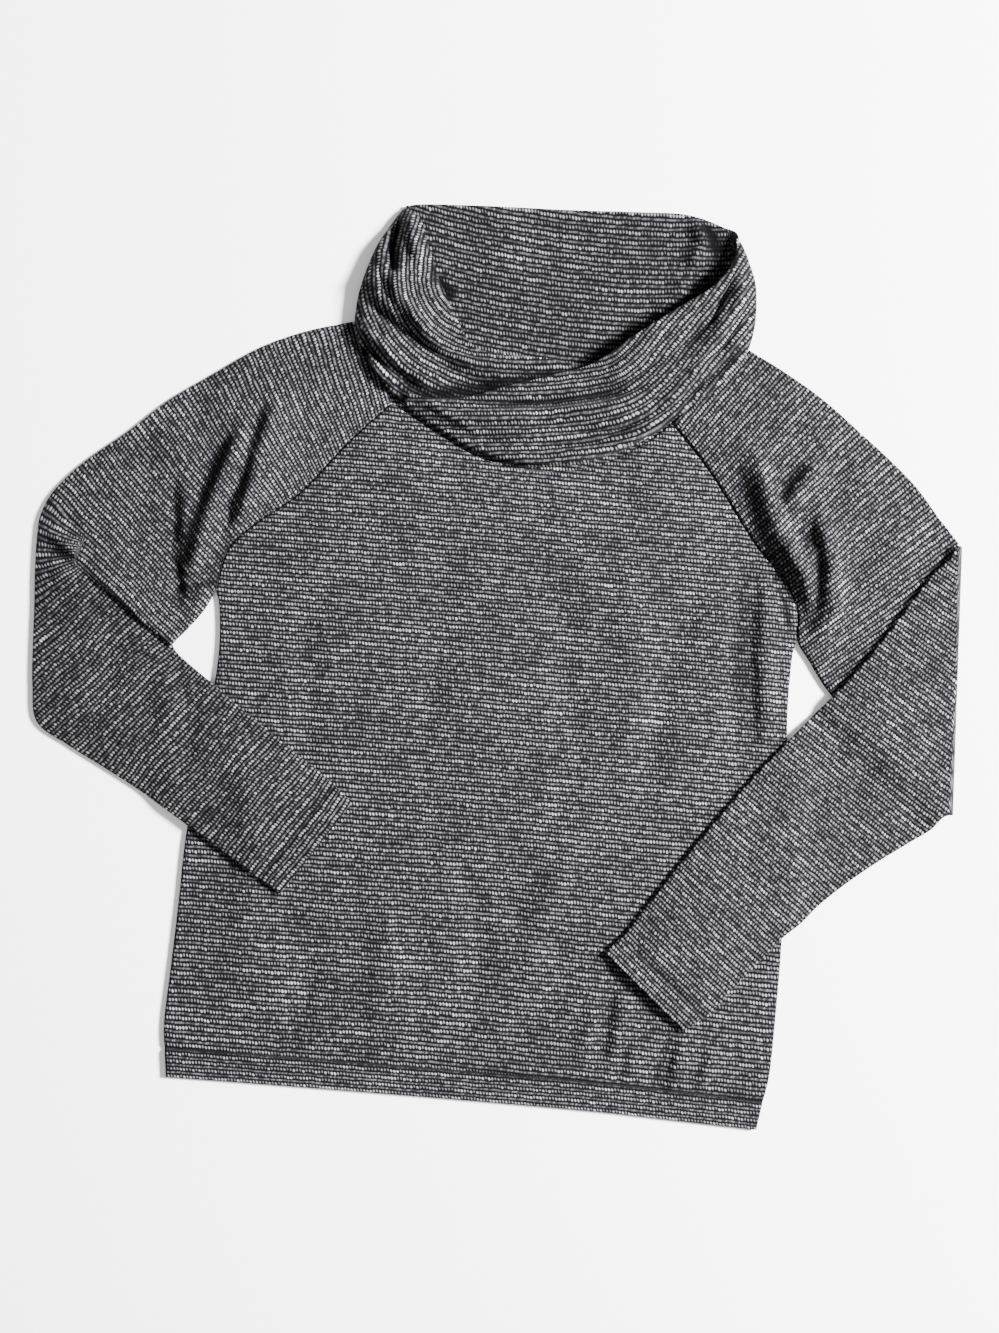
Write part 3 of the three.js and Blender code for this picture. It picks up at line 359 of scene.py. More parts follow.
def relief(table, x, y):
    """Sum of soft creases: lift times a bell of the distance to a bent line, fading at its two ends.

    The bell's half width is the eighth number, and to the right of the line's run the ninth, if given.
    """
    total = np.zeros_like(x)
    for x1, y1, x2, y2, x3, y3, lift, *halves in table:
        best = np.full_like(x, np.inf)
        along = np.zeros_like(x)
        right = np.zeros(x.shape, bool)
        for ax, ay, bx, by, start in ((x1, y1, x2, y2, 0.0), (x2, y2, x3, y3, 0.5)):
            rx, ry = bx - ax, by - ay
            t = np.clip(((x - ax) * rx + (y - ay) * ry) / (rx * rx + ry * ry), 0, 1)
            off = np.hypot(x - mix(ax, bx, t), y - mix(ay, by, t))
            nearer = off < best
            along = np.where(nearer, start + t / 2, along)
            right = np.where(nearer, rx * (y - ay) - ry * (x - ax) < 0, right)
            best = np.minimum(best, off)
        ends = smooth(0, CREASE_FADE, along) * smooth(0, CREASE_FADE, 1 - along)
        half = np.where(right, halves[-1], halves[0])
        total += lift * np.exp(-((best / half) ** 2)) * mix(CREASE_END, 1.0, ends)
    return total


# The tables' curves as close points, to look a place up in
PLACES = np.linspace(0, 1, CURVE_POINTS)
SIDE_POINTS, RAGLAN_POINTS = curve(BODY_SIDES, PLACES), curve(RAGLANS, PLACES[1:])
LEFT_EDGE = np.vstack([SIDE_POINTS[:, 0:2], RAGLAN_POINTS[:, 0:2]])
RIGHT_EDGE = np.vstack([SIDE_POINTS[:, 2:4], RAGLAN_POINTS[:, 2:4]])
DIPS, RISES = curve(NECK_DIPS, PLACES), curve(HEM_RISES, PLACES)


def left_edge(y):
    """Place of the body's left edge at a height y, side and raglan seam together."""
    return np.interp(y, LEFT_EDGE[:, 1], LEFT_EDGE[:, 0])


def right_edge(y):
    """Place of the body's right edge, in the same way."""
    return np.interp(y, RIGHT_EDGE[:, 1], RIGHT_EDGE[:, 0])


def ripples(x, y, length):
    """Low uneven swell of laid cloth: a few long sines at unlike angles, between -1 and 1."""
    x, y = x / length, y / length
    total = sum(size * np.sin(across * x + along * y + start) for across, along, start, size in SWELL_WAVES)
    return total / sum(wave[3] for wave in SWELL_WAVES)


def front_height(x, y):
    """Middle of the front's wall: a low swell that comes down at the seams, plus the creases."""
    side = np.minimum(x - left_edge(y), right_edge(y) - x) * SIDE_SLANT
    hem = y - HEM_Y
    corner_y, beyond_neck = 230.0, 60.0
    left, right = left_edge(corner_y), right_edge(corner_y)
    across = (x - left) / (right - left)
    line = FRONT_NECK_Y + np.interp(across, DIPS[:, 0], DIPS[:, 1])
    neck = np.where((across > 0) & (across < 1), np.maximum(line - y, 0), beyond_neck)
    edge = np.minimum(np.minimum(side, hem), neck)
    swell = smooth(0, SWELL_SIDE, side) * smooth(0, SWELL_END, hem) * smooth(0, SWELL_END, neck)
    folds = (relief(BODY_CREASES, x, y) + relief(BODY_FINE, x, y)) * smooth(0, CREASE_REACH, edge)
    folds = folds + BODY_RIPPLE * ripples(x, y, BODY_RIPPLE_LENGTH) * smooth(0, RIPPLE_REACH, edge)
    return FRONT_Z + np.maximum(0, BODY_LOFT * swell + folds)


def front_top(x, y):
    """Height of the front's upper face, which cuffs and folded forearm lie on."""
    return front_height(x, y) + WALL / 2


def panel(back, rows, cols):
    """Body panel on a grid: rows from hem to neck between its two edges, bowed to the hem and neck curves.

    An eighth of the rows are over the turned hem, six tenths up the rest of the sides and three tenths up
    the raglan seams.
    """
    hem_part = 0.125
    dense = np.linspace(0, hem_part, rows // 8, endpoint=False)
    places = np.concatenate([dense, np.linspace(hem_part, 1, rows * 6 // 10)])
    low = curve(BODY_SIDES, places)
    high = curve(RAGLANS, np.linspace(0, 1, rows * 3 // 10 + 1)[1:])
    high = high[:, 4:8] if back else high[:, 0:4]
    ends = np.vstack([low, high])[:, :, None]
    c = np.linspace(1, 0, cols)[None, :]
    x = mix(ends[:, 0] + SEAM_INSET, ends[:, 2] - SEAM_INSET, c)
    y = mix(ends[:, 1], ends[:, 3], c)
    left_y = ends[:, 1]
    dip = np.interp(c, DIPS[:, 0], DIPS[:, 2 if back else 1]) - (BACK_NECK_INSET if back else FRONT_NECK_INSET)
    rise_from, rise_to, fall_from = -395, -250, -120
    rise = (1 - smooth(rise_from, rise_to, left_y)) * np.interp(c, RISES[:, 0], RISES[:, 1])
    fall = smooth(fall_from, BACK_NECK_Y if back else FRONT_NECK_Y, left_y) * dip
    y = y + rise + fall
    z = np.full_like(x, BACK_Z) if back else front_height(x, y)
    return np.stack([x, y, z], -1)


def wall_of(grid, wall, raised=0.0):
    """Closed cloth wall about a grid of points: each point moved half a wall along its normal, both ways."""
    normal = np.cross(np.gradient(grid, axis=0), np.gradient(grid, axis=1))
    normal /= np.maximum(np.linalg.norm(normal, axis=-1, keepdims=True), 1e-9)
    reach = wall / 2 + np.broadcast_to(raised, grid.shape[:2])[..., None]
    points = np.concatenate([(grid + normal * reach).reshape(-1, 3), (grid - normal * wall / 2).reshape(-1, 3)])
    rows, cols = grid.shape[:2]
    a = np.arange(rows * cols).reshape(rows, cols)
    b = a + rows * cols
    quads = [np.stack([a[:-1, :-1], a[1:, :-1], a[1:, 1:], a[:-1, 1:]], -1).reshape(-1, 4),
             np.stack([b[:-1, :-1], b[:-1, 1:], b[1:, 1:], b[1:, :-1]], -1).reshape(-1, 4),
             np.stack([a[:-1, 0], b[:-1, 0], b[1:, 0], a[1:, 0]], -1),
             np.stack([a[:-1, -1], a[1:, -1], b[1:, -1], b[:-1, -1]], -1),
             np.stack([a[0, :-1], a[0, 1:], b[0, 1:], b[0, :-1]], -1),
             np.stack([a[-1, :-1], b[-1, :-1], b[-1, 1:], a[-1, 1:]], -1)]
    return points, np.concatenate(quads)


def linked(name, data):
    """New object, linked to the scene."""
    thing = bpy.data.objects.new(name, data)
    bpy.context.scene.collection.objects.link(thing)
    return thing


def piece(name, grid, wall, weave, raised=0.0, painted_shade=0.0):
    """Blender object of a cloth wall; weave holds, in millimetres, the place along and across the knit's rows.

    The knit is darkened by painted shade, from 0 to 1: by 1 along a line of stitches, standing in for its groove's
    shadow, and by less in a fold, standing in for the fold's shade.
    """
    points, quads = wall_of(grid, wall, raised)
    mesh = bpy.data.meshes.new(name)
    mesh.vertices.add(len(points))
    mesh.vertices.foreach_set("co", ((points - MIDDLE) / 1000).astype(np.float32).ravel())
    mesh.loops.add(quads.size)
    mesh.loops.foreach_set("vertex_index", quads.astype(np.int32).ravel())
    mesh.polygons.add(len(quads))
    mesh.polygons.foreach_set("loop_start", np.arange(0, quads.size, 4, dtype=np.int32))
    mesh.polygons.foreach_set("loop_total", np.full(len(quads), 4, np.int32))
    mesh.polygons.foreach_set("use_smooth", np.ones(len(quads), bool))
    mesh.update(calc_edges=True)
    both = np.concatenate([weave.reshape(-1, 2)] * 2) / 1000
    mesh.uv_layers.new(name="knit").data.foreach_set("uv", both[quads.ravel()].astype(np.float32).ravel())
    # Painted shade for the material, one value for each point of both faces
    shade_amount = np.tile(np.broadcast_to(painted_shade, grid.shape[:2]).ravel(), 2)
    mesh.attributes.new("painted_shade", "FLOAT", "POINT").data.foreach_set("value", shade_amount.astype(np.float32))
    mesh.validate()
    return linked(name, mesh)


def leaf_gap(share, loft, folds=0.0):
    """Height of a sleeve's upper leaf over its lower one: the seam gap at 0, the outer fold's roll at 1."""
    full = smooth(0, 0.3, share) * smooth(0, 0.3, 1 - share)
    near = smooth(0, 0.08, share) * smooth(0, 0.16, 1 - share)
    gap = mix(WALL + SEAM_GAP, 2 * EDGE_ROLL, smooth(0, 0.6, share)) + loft * full + folds * near
    return np.maximum(gap, WALL + SEAM_GAP)


def ring(outer, front, back, counts):
    """Sections round a sleeve from the lower leaf's seam edge, over the outer fold, to the upper leaf's.

    Returns x, y, leaf (0 lower to 1 upper) and share (0 at the seam to 1 at the fold) on the grid.
    """
    out = outer - (front + back) / 2
    out /= np.linalg.norm(out, axis=1, keepdims=True)
    fold = outer - out * (EDGE_ROLL + WALL / 2)
    low = np.linspace(0, 1, counts[0], endpoint=False)
    turn = np.linspace(-np.pi / 2, np.pi / 2, counts[1])
    high = np.linspace(1, 0, counts[2] + 1)[1:]
    xy = np.concatenate([
        mix(back[:, None], fold[:, None], low[None, :, None]),
        fold[:, None] + out[:, None] * (EDGE_ROLL * np.cos(turn))[None, :, None],
        mix(front[:, None], fold[:, None], high[None, :, None])], 1)
    leaf = np.concatenate([0 * low, (1 + np.sin(turn)) / 2, 0 * high + 1])[None, :]
    share = np.concatenate([low, 0 * turn + 1, high])[None, :]
    shape = xy.shape[:2]
    return xy[..., 0], xy[..., 1], np.broadcast_to(leaf, shape), np.broadcast_to(share, shape)


def head(table, side, count):
    """Sections of a sleeve's head: places, outer fold points, and points on the front and back raglan seams."""
    t = np.linspace(0, 1, count)
    rows = curve(table, t)
    column = 0 if side == "left" else 2
    away = np.array([-SEAM_INSET if side == "left" else SEAM_INSET, SEAM_INSET])
    front = curve(RAGLANS[:, column:column + 2], 1 - rows[:, 2]) + away
    back = curve(RAGLANS[:, column + 4:column + 6], 1 - rows[:, 3]) + away
    return t, rows[:, 0:2], front, back


def joined(outer, front, back, rest):
    """A head's sections followed by those of a table of outer fold and underarm seam."""
    return np.vstack([outer, rest[:, :2]]), np.vstack([front, rest[:, 2:]]), np.vstack([back, rest[:, 2:]])


def refine(grid, counts):
    """Cubic curves down each column of a grid through all its points, spaced by chord length.

    They are Hermite cubics, whose slopes are averaged from the stretches on both sides, so that a short
    stretch beside a long one isn't overshot.
    """
    step = np.diff(grid, axis=0)
    length = np.maximum(np.linalg.norm(step[..., :3], axis=-1, keepdims=True), 0.05)
    slope = step / length
    lean = np.concatenate([
        slope[:1],
        (slope[:-1] * length[1:] + slope[1:] * length[:-1]) / (length[1:] + length[:-1]),
        slope[-1:]])
    parts = []
    for i, count in enumerate(counts):
        t = (np.arange(count) / count)[:, None, None]
        parts.append((2 * t**3 - 3 * t**2 + 1) * grid[i] + (t**3 - 2 * t**2 + t) * length[i] * lean[i]
                     + (3 * t**2 - 2 * t**3) * grid[i + 1] + (t**3 - t**2) * length[i] * lean[i + 1])
    return np.concatenate(parts + [grid[-1:]])


def spacing(grid, reach, finest):
    """Rows for each stretch of a grid: one every reach millimetres, and finer over the last two stretches."""
    mean = np.linalg.norm(np.diff(grid[..., :2], axis=0), axis=-1).mean(1)
    limit = np.full(len(mean), reach)
    limit[-2:] = finest
    return np.maximum(2, np.ceil(mean / limit)).astype(int)


def turned(band, depth):
    """Height added to a turned and stitched edge: raised over its depth, with a groove along the stitches."""
    groove = STITCH_GROOVE * np.exp(-(((band - depth - STITCH_GROOVE_AT) / STITCH_GROOVE_HALF) ** 2))
    return HEM_RAISE * (1 - smooth(depth - 1.0, depth + 1.0, band)) - groove


def stitch_shade(band, depth):
    """Painted shade of the stitch groove along a turned edge: 1 on the stitches, falling to nothing within 6 mm."""
    return np.exp(-(((band - depth - STITCH_SHADE_AT) / STITCH_SHADE_HALF) ** 2))


def fold_shade(table, x, y):
    """How dark painted shade makes the knit along the deep sides of folds, from 0 to the limit."""
    return np.clip(relief(table, x, y), 0, FOLD_SHADE_LIMIT)


def fan(x, y, centre, start):
    """Rows that point at a far centre: place along them and across them, both zero at start."""
    cx, cy = centre
    far = math.hypot(start[0] - cx, start[1] - cy)
    first = math.atan2(start[1] - cy, start[0] - cx)
    along = np.hypot(x - cx, y - cy) - far
    angle = np.arctan2(y - cy, x - cx) - first
    angle = (angle + np.pi) % (2 * np.pi) - np.pi
    return along, angle * far


def right_weave(x, y, lower, unfolded):
    """Rows of the right sleeve: fans at the shoulder, arm and forearm, gathered at the pleat's outer end.

    Round that end the rows turn like spokes, and all of them waver a little, as in slack knit.
    """
    waver, waver_length = 2.0, 30.0
    along_arm, across_arm = fan(x, y, ARM_CENTRE, ARM_ROW)
    along_neck, across_neck = fan(x, y, SHOULDER_CENTRE, ARM_ROW)
    by_neck = across_arm < 0
    along_arm = np.where(by_neck, along_neck, along_arm)
    across_arm = np.where(by_neck, across_neck, across_arm)
    along_fore, across_fore = fan(x, y, FOREARM_CENTRE, GATHER)
    along_0, across_0 = fan(*GATHER, ARM_CENTRE, ARM_ROW)
    along_arm, across_arm = along_arm - along_0, across_arm - across_0
    dx, dy = x - GATHER[0], y - GATHER[1]
    angle = np.degrees(np.arctan2(dy, dx)) % 360
    spoke = np.clip((angle - GATHER_FROM) / (GATHER_TO - GATHER_FROM), 0, 1)
    outer = (angle > GATHER_FROM) & (angle < GATHER_TO) & (unfolded | lower)
    turn = GATHER_SPAN * spoke
    beyond = np.where(unfolded, (angle > GATHER_TO) & (angle < GATHER_END), lower)
    along = np.where(outer, np.hypot(dx, dy), np.where(beyond, along_fore, along_arm))
    across = np.where(outer, turn, np.where(beyond, GATHER_SPAN + across_fore, across_arm))
    return along, across + waver * ripples(x, y, waver_length)


def right_sleeve():
    """Bent at the elbow, with a pleat across the crook and the cuff laid on the body."""
    t, outer, front, back = head(HEAD_RIGHT, "left", HEAD_ROWS)
    pleats = np.repeat(PLEAT_LINE[None], len(PLEAT_FOLD), 0)
    outer, front, back = joined(outer, front, back, np.vstack([ARM_RIGHT, pleats, FOREARM_RIGHT]))
    x, y, leaf, share = ring(outer, front, back, RIGHT_ROUND)
    folded = slice(len(t) + len(ARM_RIGHT), len(t) + len(ARM_RIGHT) + len(PLEAT_FOLD))
    run = PLEAT_LINE[:2] - PLEAT_LINE[2:]
    up = np.array([run[1], -run[0]]) / np.hypot(*run)
    opened, shut, deep, rise = (PLEAT_FOLD[:, k:k + 1] for k in range(4))
    on_top = (leaf == 1).astype(float)
    s, top = share[folded], on_top[folded]
    start = 1 - smooth(PLEAT_FULL, PLEAT_START, s)
    full = (1 - smooth(PLEAT_FULL - 0.3, PLEAT_FULL, s)) * top
    flat = opened * mix(0.3, 1.0, s)
    moved = mix(flat, shut, full) + deep * PLEAT_DEPTH * full
    x, y = x.copy(), y.copy()
    x[folded] += up[0] * moved * (1 - s * s)
    y[folded] += up[1] * moved
    lifted = np.zeros_like(x)
    lifted[folded] = rise * PLEAT_RISE * start * top
    arm = slice(len(t), len(t) + len(ARM_RIGHT))
    # The arm's three rows lead up to the pleat's height
    lead = np.array([0.12, 0.42, 0.82])[:, None]
    lifted[arm] = lead * PLEAT_RISE * (1 - smooth(PLEAT_FULL, PLEAT_START, share[arm])) * on_top[arm]
    fullness = np.ones_like(x)
    fullness[:len(t)] = smooth(0, 0.3, t)[:, None]
    fore = np.zeros_like(x)
    fore[folded.stop:] = 1
    # From the pleat's seventh row, the first that is tucked under, the rows are the forearm's
    lower = np.zeros_like(x)
    lower[folded.start + 6:] = 1
    coarse = np.stack([x, y, lifted, fullness, fore, lower], -1)
    fine = refine(coarse, spacing(coarse, ROW_STEP, CUFF_STEP))
    x, y, lifted = fine[..., 0], fine[..., 1], np.clip(fine[..., 2], 0, PLEAT_RISE)
    fullness, fore, lower = (np.clip(fine[..., k], 0, 1) for k in (3, 4, 5))
    leaf, share = leaf[:1], share[:1]
    on_body = fore * smooth(*RIGHT_CLIMB, x - left_edge(y))
    low = BACK_Z + on_body * (front_top(np.maximum(x, left_edge(y)), y) + REST_GAP)
    folds = relief(RIGHT_CREASES + RIGHT_FINE, x, y) + SLEEVE_RIPPLE * ripples(x, y, SLEEVE_RIPPLE_LENGTH)
    z = low + leaf * leaf_gap(share, SLEEVE_LOFT * fullness, folds * fullness) + lifted
    grid = np.stack([x, y, z], -1)
    cuff = np.hypot(x - x[-1], y - y[-1])
    leaf_width = 120.0
    groove = SLEEVE_GROOVE * np.exp(-(((1 - share) * leaf_width / SLEEVE_GROOVE_HALF) ** 2))
    raised = (turned(cuff, CUFF_DEPTH) - groove) * (leaf > 0.5)
    along, across = right_weave(x, y, lower > 0.5, (share > PLEAT_START) | (leaf < 0.5))
    # Painted shade: in the upper leaf's folds, along the cuff's stitch groove, and over the forearm, which lies
    # turned away from the lamp
    painted_shade_mask = fold_shade(RIGHT_FOLD_SHADE, x, y) * (leaf > 0.5)
    painted_shade_all = np.maximum(CUFF_STITCH_SHADE_RIGHT * stitch_shade(cuff, CUFF_DEPTH), painted_shade_mask)
    painted_shade_all = np.maximum(painted_shade_all, FOREARM_SHADE * (lower > 0.5) * smooth(0, FOREARM_SHADE_REACH, cuff))
    return piece("sleeve_right_knit", grid, WALL, np.stack([along, across], -1), raised, painted_shade_all)


def left_sleeve():
    """Folded at the elbow: the forearm is turned right over, on to the upper arm and the body."""
    run = FOLD_LINE[:2] - FOLD_LINE[2:]
    run = run / np.hypot(*run)
    outward = np.array([run[1], -run[0]])
    radius = 2 * EDGE_ROLL + FOLD_RADIUS / 2
    axis = FOLD_LINE - np.tile(outward, 2) * (radius + WALL / 2)
    t, outer, front, back = head(HEAD_LEFT, "right", HEAD_ROWS)
    turns = np.linspace(0, np.pi, 9)
    bends = np.repeat(axis[None], len(turns), 0)
    outer, front, back = joined(outer, front, back, np.vstack([ARM_LEFT, bends, FOREARM_LEFT]))
    x, y, leaf, share = ring(outer, front, back, LEFT_ROUND)
    turn = slice(len(t) + len(ARM_LEFT), len(t) + len(ARM_LEFT) + len(turns))
    thin = leaf_gap(share, 0)
    centre_z = BACK_Z + radius
    x, y = x.copy(), y.copy()
    z = np.full_like(x, BACK_Z)
    reach = (radius - leaf * thin)[turn]
    x[turn] += outward[0] * reach * np.sin(turns)[:, None]
    y[turn] += outward[1] * reach * np.sin(turns)[:, None]
    z[turn] = centre_z - reach * np.cos(turns)[:, None]
    z[turn.stop:] = centre_z + (radius - leaf * thin)[turn.stop:]
    z[:turn.start] += (leaf * thin)[:turn.start]
    fullness = np.ones_like(x)
    fullness[:len(t)] = smooth(0, 0.3, t)[:, None]
    place = np.zeros_like(x)
    place[turn] = np.linspace(0, 1, len(turns))[:, None]
    place[turn.stop:] = 1
    coarse = np.stack([x, y, z, fullness, place], -1)
    counts = spacing(coarse, ROW_STEP, CUFF_STEP)
    fine = refine(coarse, counts)
    x, y, z = (fine[..., k] for k in range(3))
    first, last = counts[:turn.start].sum(), counts[:turn.stop - 1].sum()
    leaf, share, thin = leaf[:1], share[:1], thin[:1]

    # The upper arm lies flat where the forearm, beyond this edge of it, covers the arm
    edge = FOREARM_LEFT[7, :2]
    edge_run = FOLD_LINE[:2] - edge
    edge_run = edge_run / np.hypot(*edge_run)
    arm_edge = np.vstack([RAGLANS[:1, 2:4], ARM_LEFT[:, 2:], FOLD_LINE[None, 2:]])

    def support(x, y):
        """Height of what the forearm lies on: the upper arm, the front, or the floor between them."""
        slant, arm_slack = 0.78, 0.4
        on_arm = smooth(*LEFT_CLIMB, (y - np.interp(x, arm_edge[:, 0], arm_edge[:, 1])) * slant)
        on_front = smooth(*LEFT_CLIMB, right_edge(y) - x)
        return np.maximum(on_arm * (2 * EDGE_ROLL + WALL + arm_slack),
                          on_front * front_top(np.minimum(x, right_edge(y)), y))

    ax, ay = x[:first], y[:first]
    covered = (ax - edge[0]) * edge_run[1] - (ay - edge[1]) * edge_run[0]
    folds = relief(LEFT_CREASES + LEFT_FINE, ax, ay) + SLEEVE_RIPPLE * ripples(ax, ay, SLEEVE_RIPPLE_LENGTH)
    is_open = fine[:first, :, 3] * (1 - smooth(-45, -8, covered))
    z[:first] = BACK_Z + leaf * leaf_gap(share, SLEEVE_LOFT * is_open, folds * is_open)
    fx, fy = x[last:], y[last:]
    from_fold = (axis[0] - fx) * outward[0] + (axis[1] - fy) * outward[1]
    low = support(fx, fy) + REST_GAP + WALL / 2
    at_fold = centre_z + radius - thin
    settled = mix(np.maximum(low, at_fold), low, smooth(0, 34, from_fold))
    drape = np.maximum(0, SLEEVE_LOFT + relief(FOREARM_FINE, fx, fy) + 0.4 * ripples(fx, fy, 36.0))
    z[last:] = settled + (1 - leaf) * leaf_gap(share, drape * smooth(0, 40, from_fold))
    grid = np.stack([x, y, z], -1)[:, ::-1]
    cuff = np.hypot(x - x[-1], y - y[-1])
    raised = turned(cuff, CUFF_DEPTH) * (leaf < 0.5)
    # Painted shade in the upper leaf's folds and along the cuff's stitch groove
    painted_shade_mask = fold_shade(LEFT_FOLD_SHADE, x, y) * (leaf > 0.5)
    painted_shade_all = np.maximum(CUFF_STITCH_SHADE_LEFT * stitch_shade(cuff, CUFF_DEPTH), painted_shade_mask)
    over = smooth(0, 1, fine[..., 4])
    middle = (FOLD_LINE[:2] + FOLD_LINE[2:]) / 2
    along_arm, across_arm = fan(x, y, LEFT_ARM_CENTRE, middle)
    along_fore, across_fore = fan(x, y, LEFT_FOREARM_CENTRE, middle)
    weave = np.stack([mix(along_arm, along_fore, over), mix(-across_arm, across_fore, over) + 400], -1)
    return piece("sleeve_left_knit", grid, WALL, weave[:, ::-1], raised[:, ::-1], painted_shade_all[:, ::-1])


def beside(line, x, y):
    """Place along a smooth curve through a line's points, and distance from it, of the nearest point on it."""
    path = curve(line, np.linspace(0, 1, 90))
    reach = np.concatenate([[0], np.cumsum(np.hypot(*np.diff(path, axis=0).T))])
    gap = np.hypot(x[..., None] - path[:, 0], y[..., None] - path[:, 1])
    nearest = gap.argmin(-1)
    run = np.gradient(path, axis=0)[nearest]
    run = run / np.linalg.norm(run, axis=-1, keepdims=True)
    dx, dy = x - path[nearest, 0], y - path[nearest, 1]
    return reach[nearest] + run[..., 0] * dx + run[..., 1] * dy, run[..., 0] * dy - run[..., 1] * dx


def collar_strip(stations, steps):
    """A strip: each section rises from the neck seam, swells outward and rolls over its crest.

    The section is a curve through nine points laid out along the line from seam to crest: two at the seam,
    two up the swell, two over the middle, and three round the crest and tucked under it.
    """
    rows = curve(COLLAR_SECTIONS, np.linspace(0, 1, stations))
    sx, sy, sz, cx, cy, cz, mid, swell, groove, tuck, drop, bow = rows.T
    length = np.hypot(cx - sx, cy - sy)
    ex, ey = (cx - sx) / length, (cy - sy) / length

    def on(distance, z, bowed=0.0):
        """Point of every section at a distance from its seam, moved sideways by a share of its bow."""
        return np.stack([sx + ex * distance - ey * bowed * bow, sy + ey * distance + ex * bowed * bow, z], -1)

    profile = np.stack([
        on(0, sz),
        on(length * 0.02, mix(sz, mid, 0.2)),
        on(length * 0.06 - swell, mix(sz, mid, 0.48), 0.3),
        on(length * 0.3 - swell * 0.5, mix(sz, mid, 0.85) - groove, 0.9),
        on(length * 0.62, mid, 1),
        on(length * 0.86, mix(mid, cz, 0.55), 0.6),
        on(length, cz - drop * 0.12, 0.25),
        on(length - np.where(tuck > 0, 0.35, 0.5) * tuck, cz - drop * 0.75),
        on(length - tuck, cz - drop)])
    grid = curve(profile, np.linspace(0, 1, steps)).transpose(1, 0, 2)
    grid[..., 2] = np.maximum(grid[..., 2], COLLAR_WALL / 2)
    part = np.linspace(0, 1, stations)[:, None]
    x, y = grid[..., 0], grid[..., 1]
    upper = smooth(UPPER_FROM, UPPER_TO, part)
    under = 1 - smooth(UNDER_FROM, UNDER_TO, part)
    inside = np.linspace(0, 1, steps)[None, :]
    free = smooth(*FREE_FROM, inside) * (1 - smooth(*FREE_TO, inside))
    folds = 1.7 * (upper * relief(UPPER_LAP, x, y) + under * relief(UNDER_LAP, x, y)) * free
    # Painted shade in troughs deeper than 0.8 mm, darkest in those past 6 mm
    painted_shade_mask = np.clip((-0.8 - folds) / 6.5, 0, 0.8)
    folds = folds + 0.8 * ripples(x, y, 18.0) * free * np.maximum(upper, under)
    lining = (1 - upper) * (1 - under) * free
    # No fold goes below 4 mm, and none is made where the strip is lower than 5 mm
    folds = np.where(grid[..., 2] > 5, np.maximum(folds, 4.0 - grid[..., 2]), 0)
    grid[..., 2] += folds + np.maximum(relief(NECK_FOLDS, x, y) * lining, 0)
    # More painted shade in the under lap's deep folds, and painted shade over all the neck's inside, where the rolled
    # laps shade it, deepest in its hollows
    painted_shade_mask = np.maximum(painted_shade_mask, fold_shade(UNDER_FOLD_SHADE, x, y) * under)
    painted_shade_mask = np.maximum(painted_shade_mask, (0.3 + fold_shade(NECK_SHADE, x, y)) * lining)
    along_under, across_under = beside(UNDER_ROW, x, y)
    along_upper, across_upper = beside(UPPER_ROW, x, y)
    # Behind the neck the rows sag in a shallow bowl, wider apart than on the laps
    across_back = y + 0.16 * (x + 85) - 5.7e-4 * (x + 85) ** 2
    turn, end = smooth(*TURN_TO_BACK, part), smooth(*TURN_TO_UPPER, part)
    along = mix(mix(along_under, x + 600, turn), along_upper + 900, end)
    across = mix(mix(across_under * 0.98, across_back * 0.84, turn), across_upper * 0.98 + 500, end)
    return piece("collar_knit", grid, COLLAR_WALL, np.stack([along, across], -1), 0.0, painted_shade_mask)


def front_panel():
    """Front with its turned hem, in which the rows follow the hem's edge."""
    grid = panel(False, 200, 230)
    x, y = grid[..., 0], grid[..., 1]
    band = y - y[:1]
    side = np.minimum(x - x[:, -1:], x[:, :1] - x)
    raised = turned(band, HEM_DEPTH) - BODY_GROOVE * np.exp(-((side / BODY_GROOVE_HALF) ** 2))
    # Rows arch, lower at both sides, and stand a little wider apart low down than at the chest
    across = y + 3.5e-5 * x * x - 2.34e-4 * (100 * y - y * y / 2) + 1.4 * ripples(x, y, 110.0)
    across = np.where(band < HEM_DEPTH + STITCH_GROOVE_AT, band * 1.1 + 900, across)
    # Painted shade along the hem's stitch groove, a little uneven, and in the front's folds
    hem_stitch_shade = stitch_shade(band, HEM_DEPTH) * (0.85 + 0.15 * ripples(x, y, 40.0))
    painted_shade_all = np.maximum(hem_stitch_shade, fold_shade(BODY_FOLD_SHADE, x, y))
    return piece("front_knit", grid, WALL, np.stack([x, across], -1), raised, painted_shade_all)


def back_panel():
    """Back, flat on the floor; nothing of it shows but the neck's inside."""
    grid = panel(True, 70, 60)
    return piece("back_knit", grid, WALL, grid[..., :2] + 900)


def colour(code):
    """sRGB hex colour as linear red, green, blue and alpha."""
    parts = [int(code[k:k + 2], 16) / 255 for k in (0, 2, 4)]
    return [c / 12.92 if c <= 0.04045 else ((c + 0.055) / 1.055) ** 2.4 for c in parts] + [1.0]


def node(tree, kind, settings=(), **links):
    """Adds a node of a kind, with its settings; links give inputs, by name or number, a value or an output."""
    made = tree.nodes.new(kind)
    for name, value in dict(settings).items():
        setattr(made, name, value)
    for name, value in links.items():
        key = int(name[1:]) if name[0] == "i" and name[1:].isdigit() else name.replace("_", " ")
        if isinstance(value, bpy.types.NodeSocket):
            tree.links.new(value, made.inputs[key])
        else:
            made.inputs[key].default_value = value
    return made


def empty_material(name):
    """New material and its node tree, without nodes."""
    material = bpy.data.materials.new(name)
    material.use_nodes = True
    material.node_tree.nodes.clear()
    return material, material.node_tree


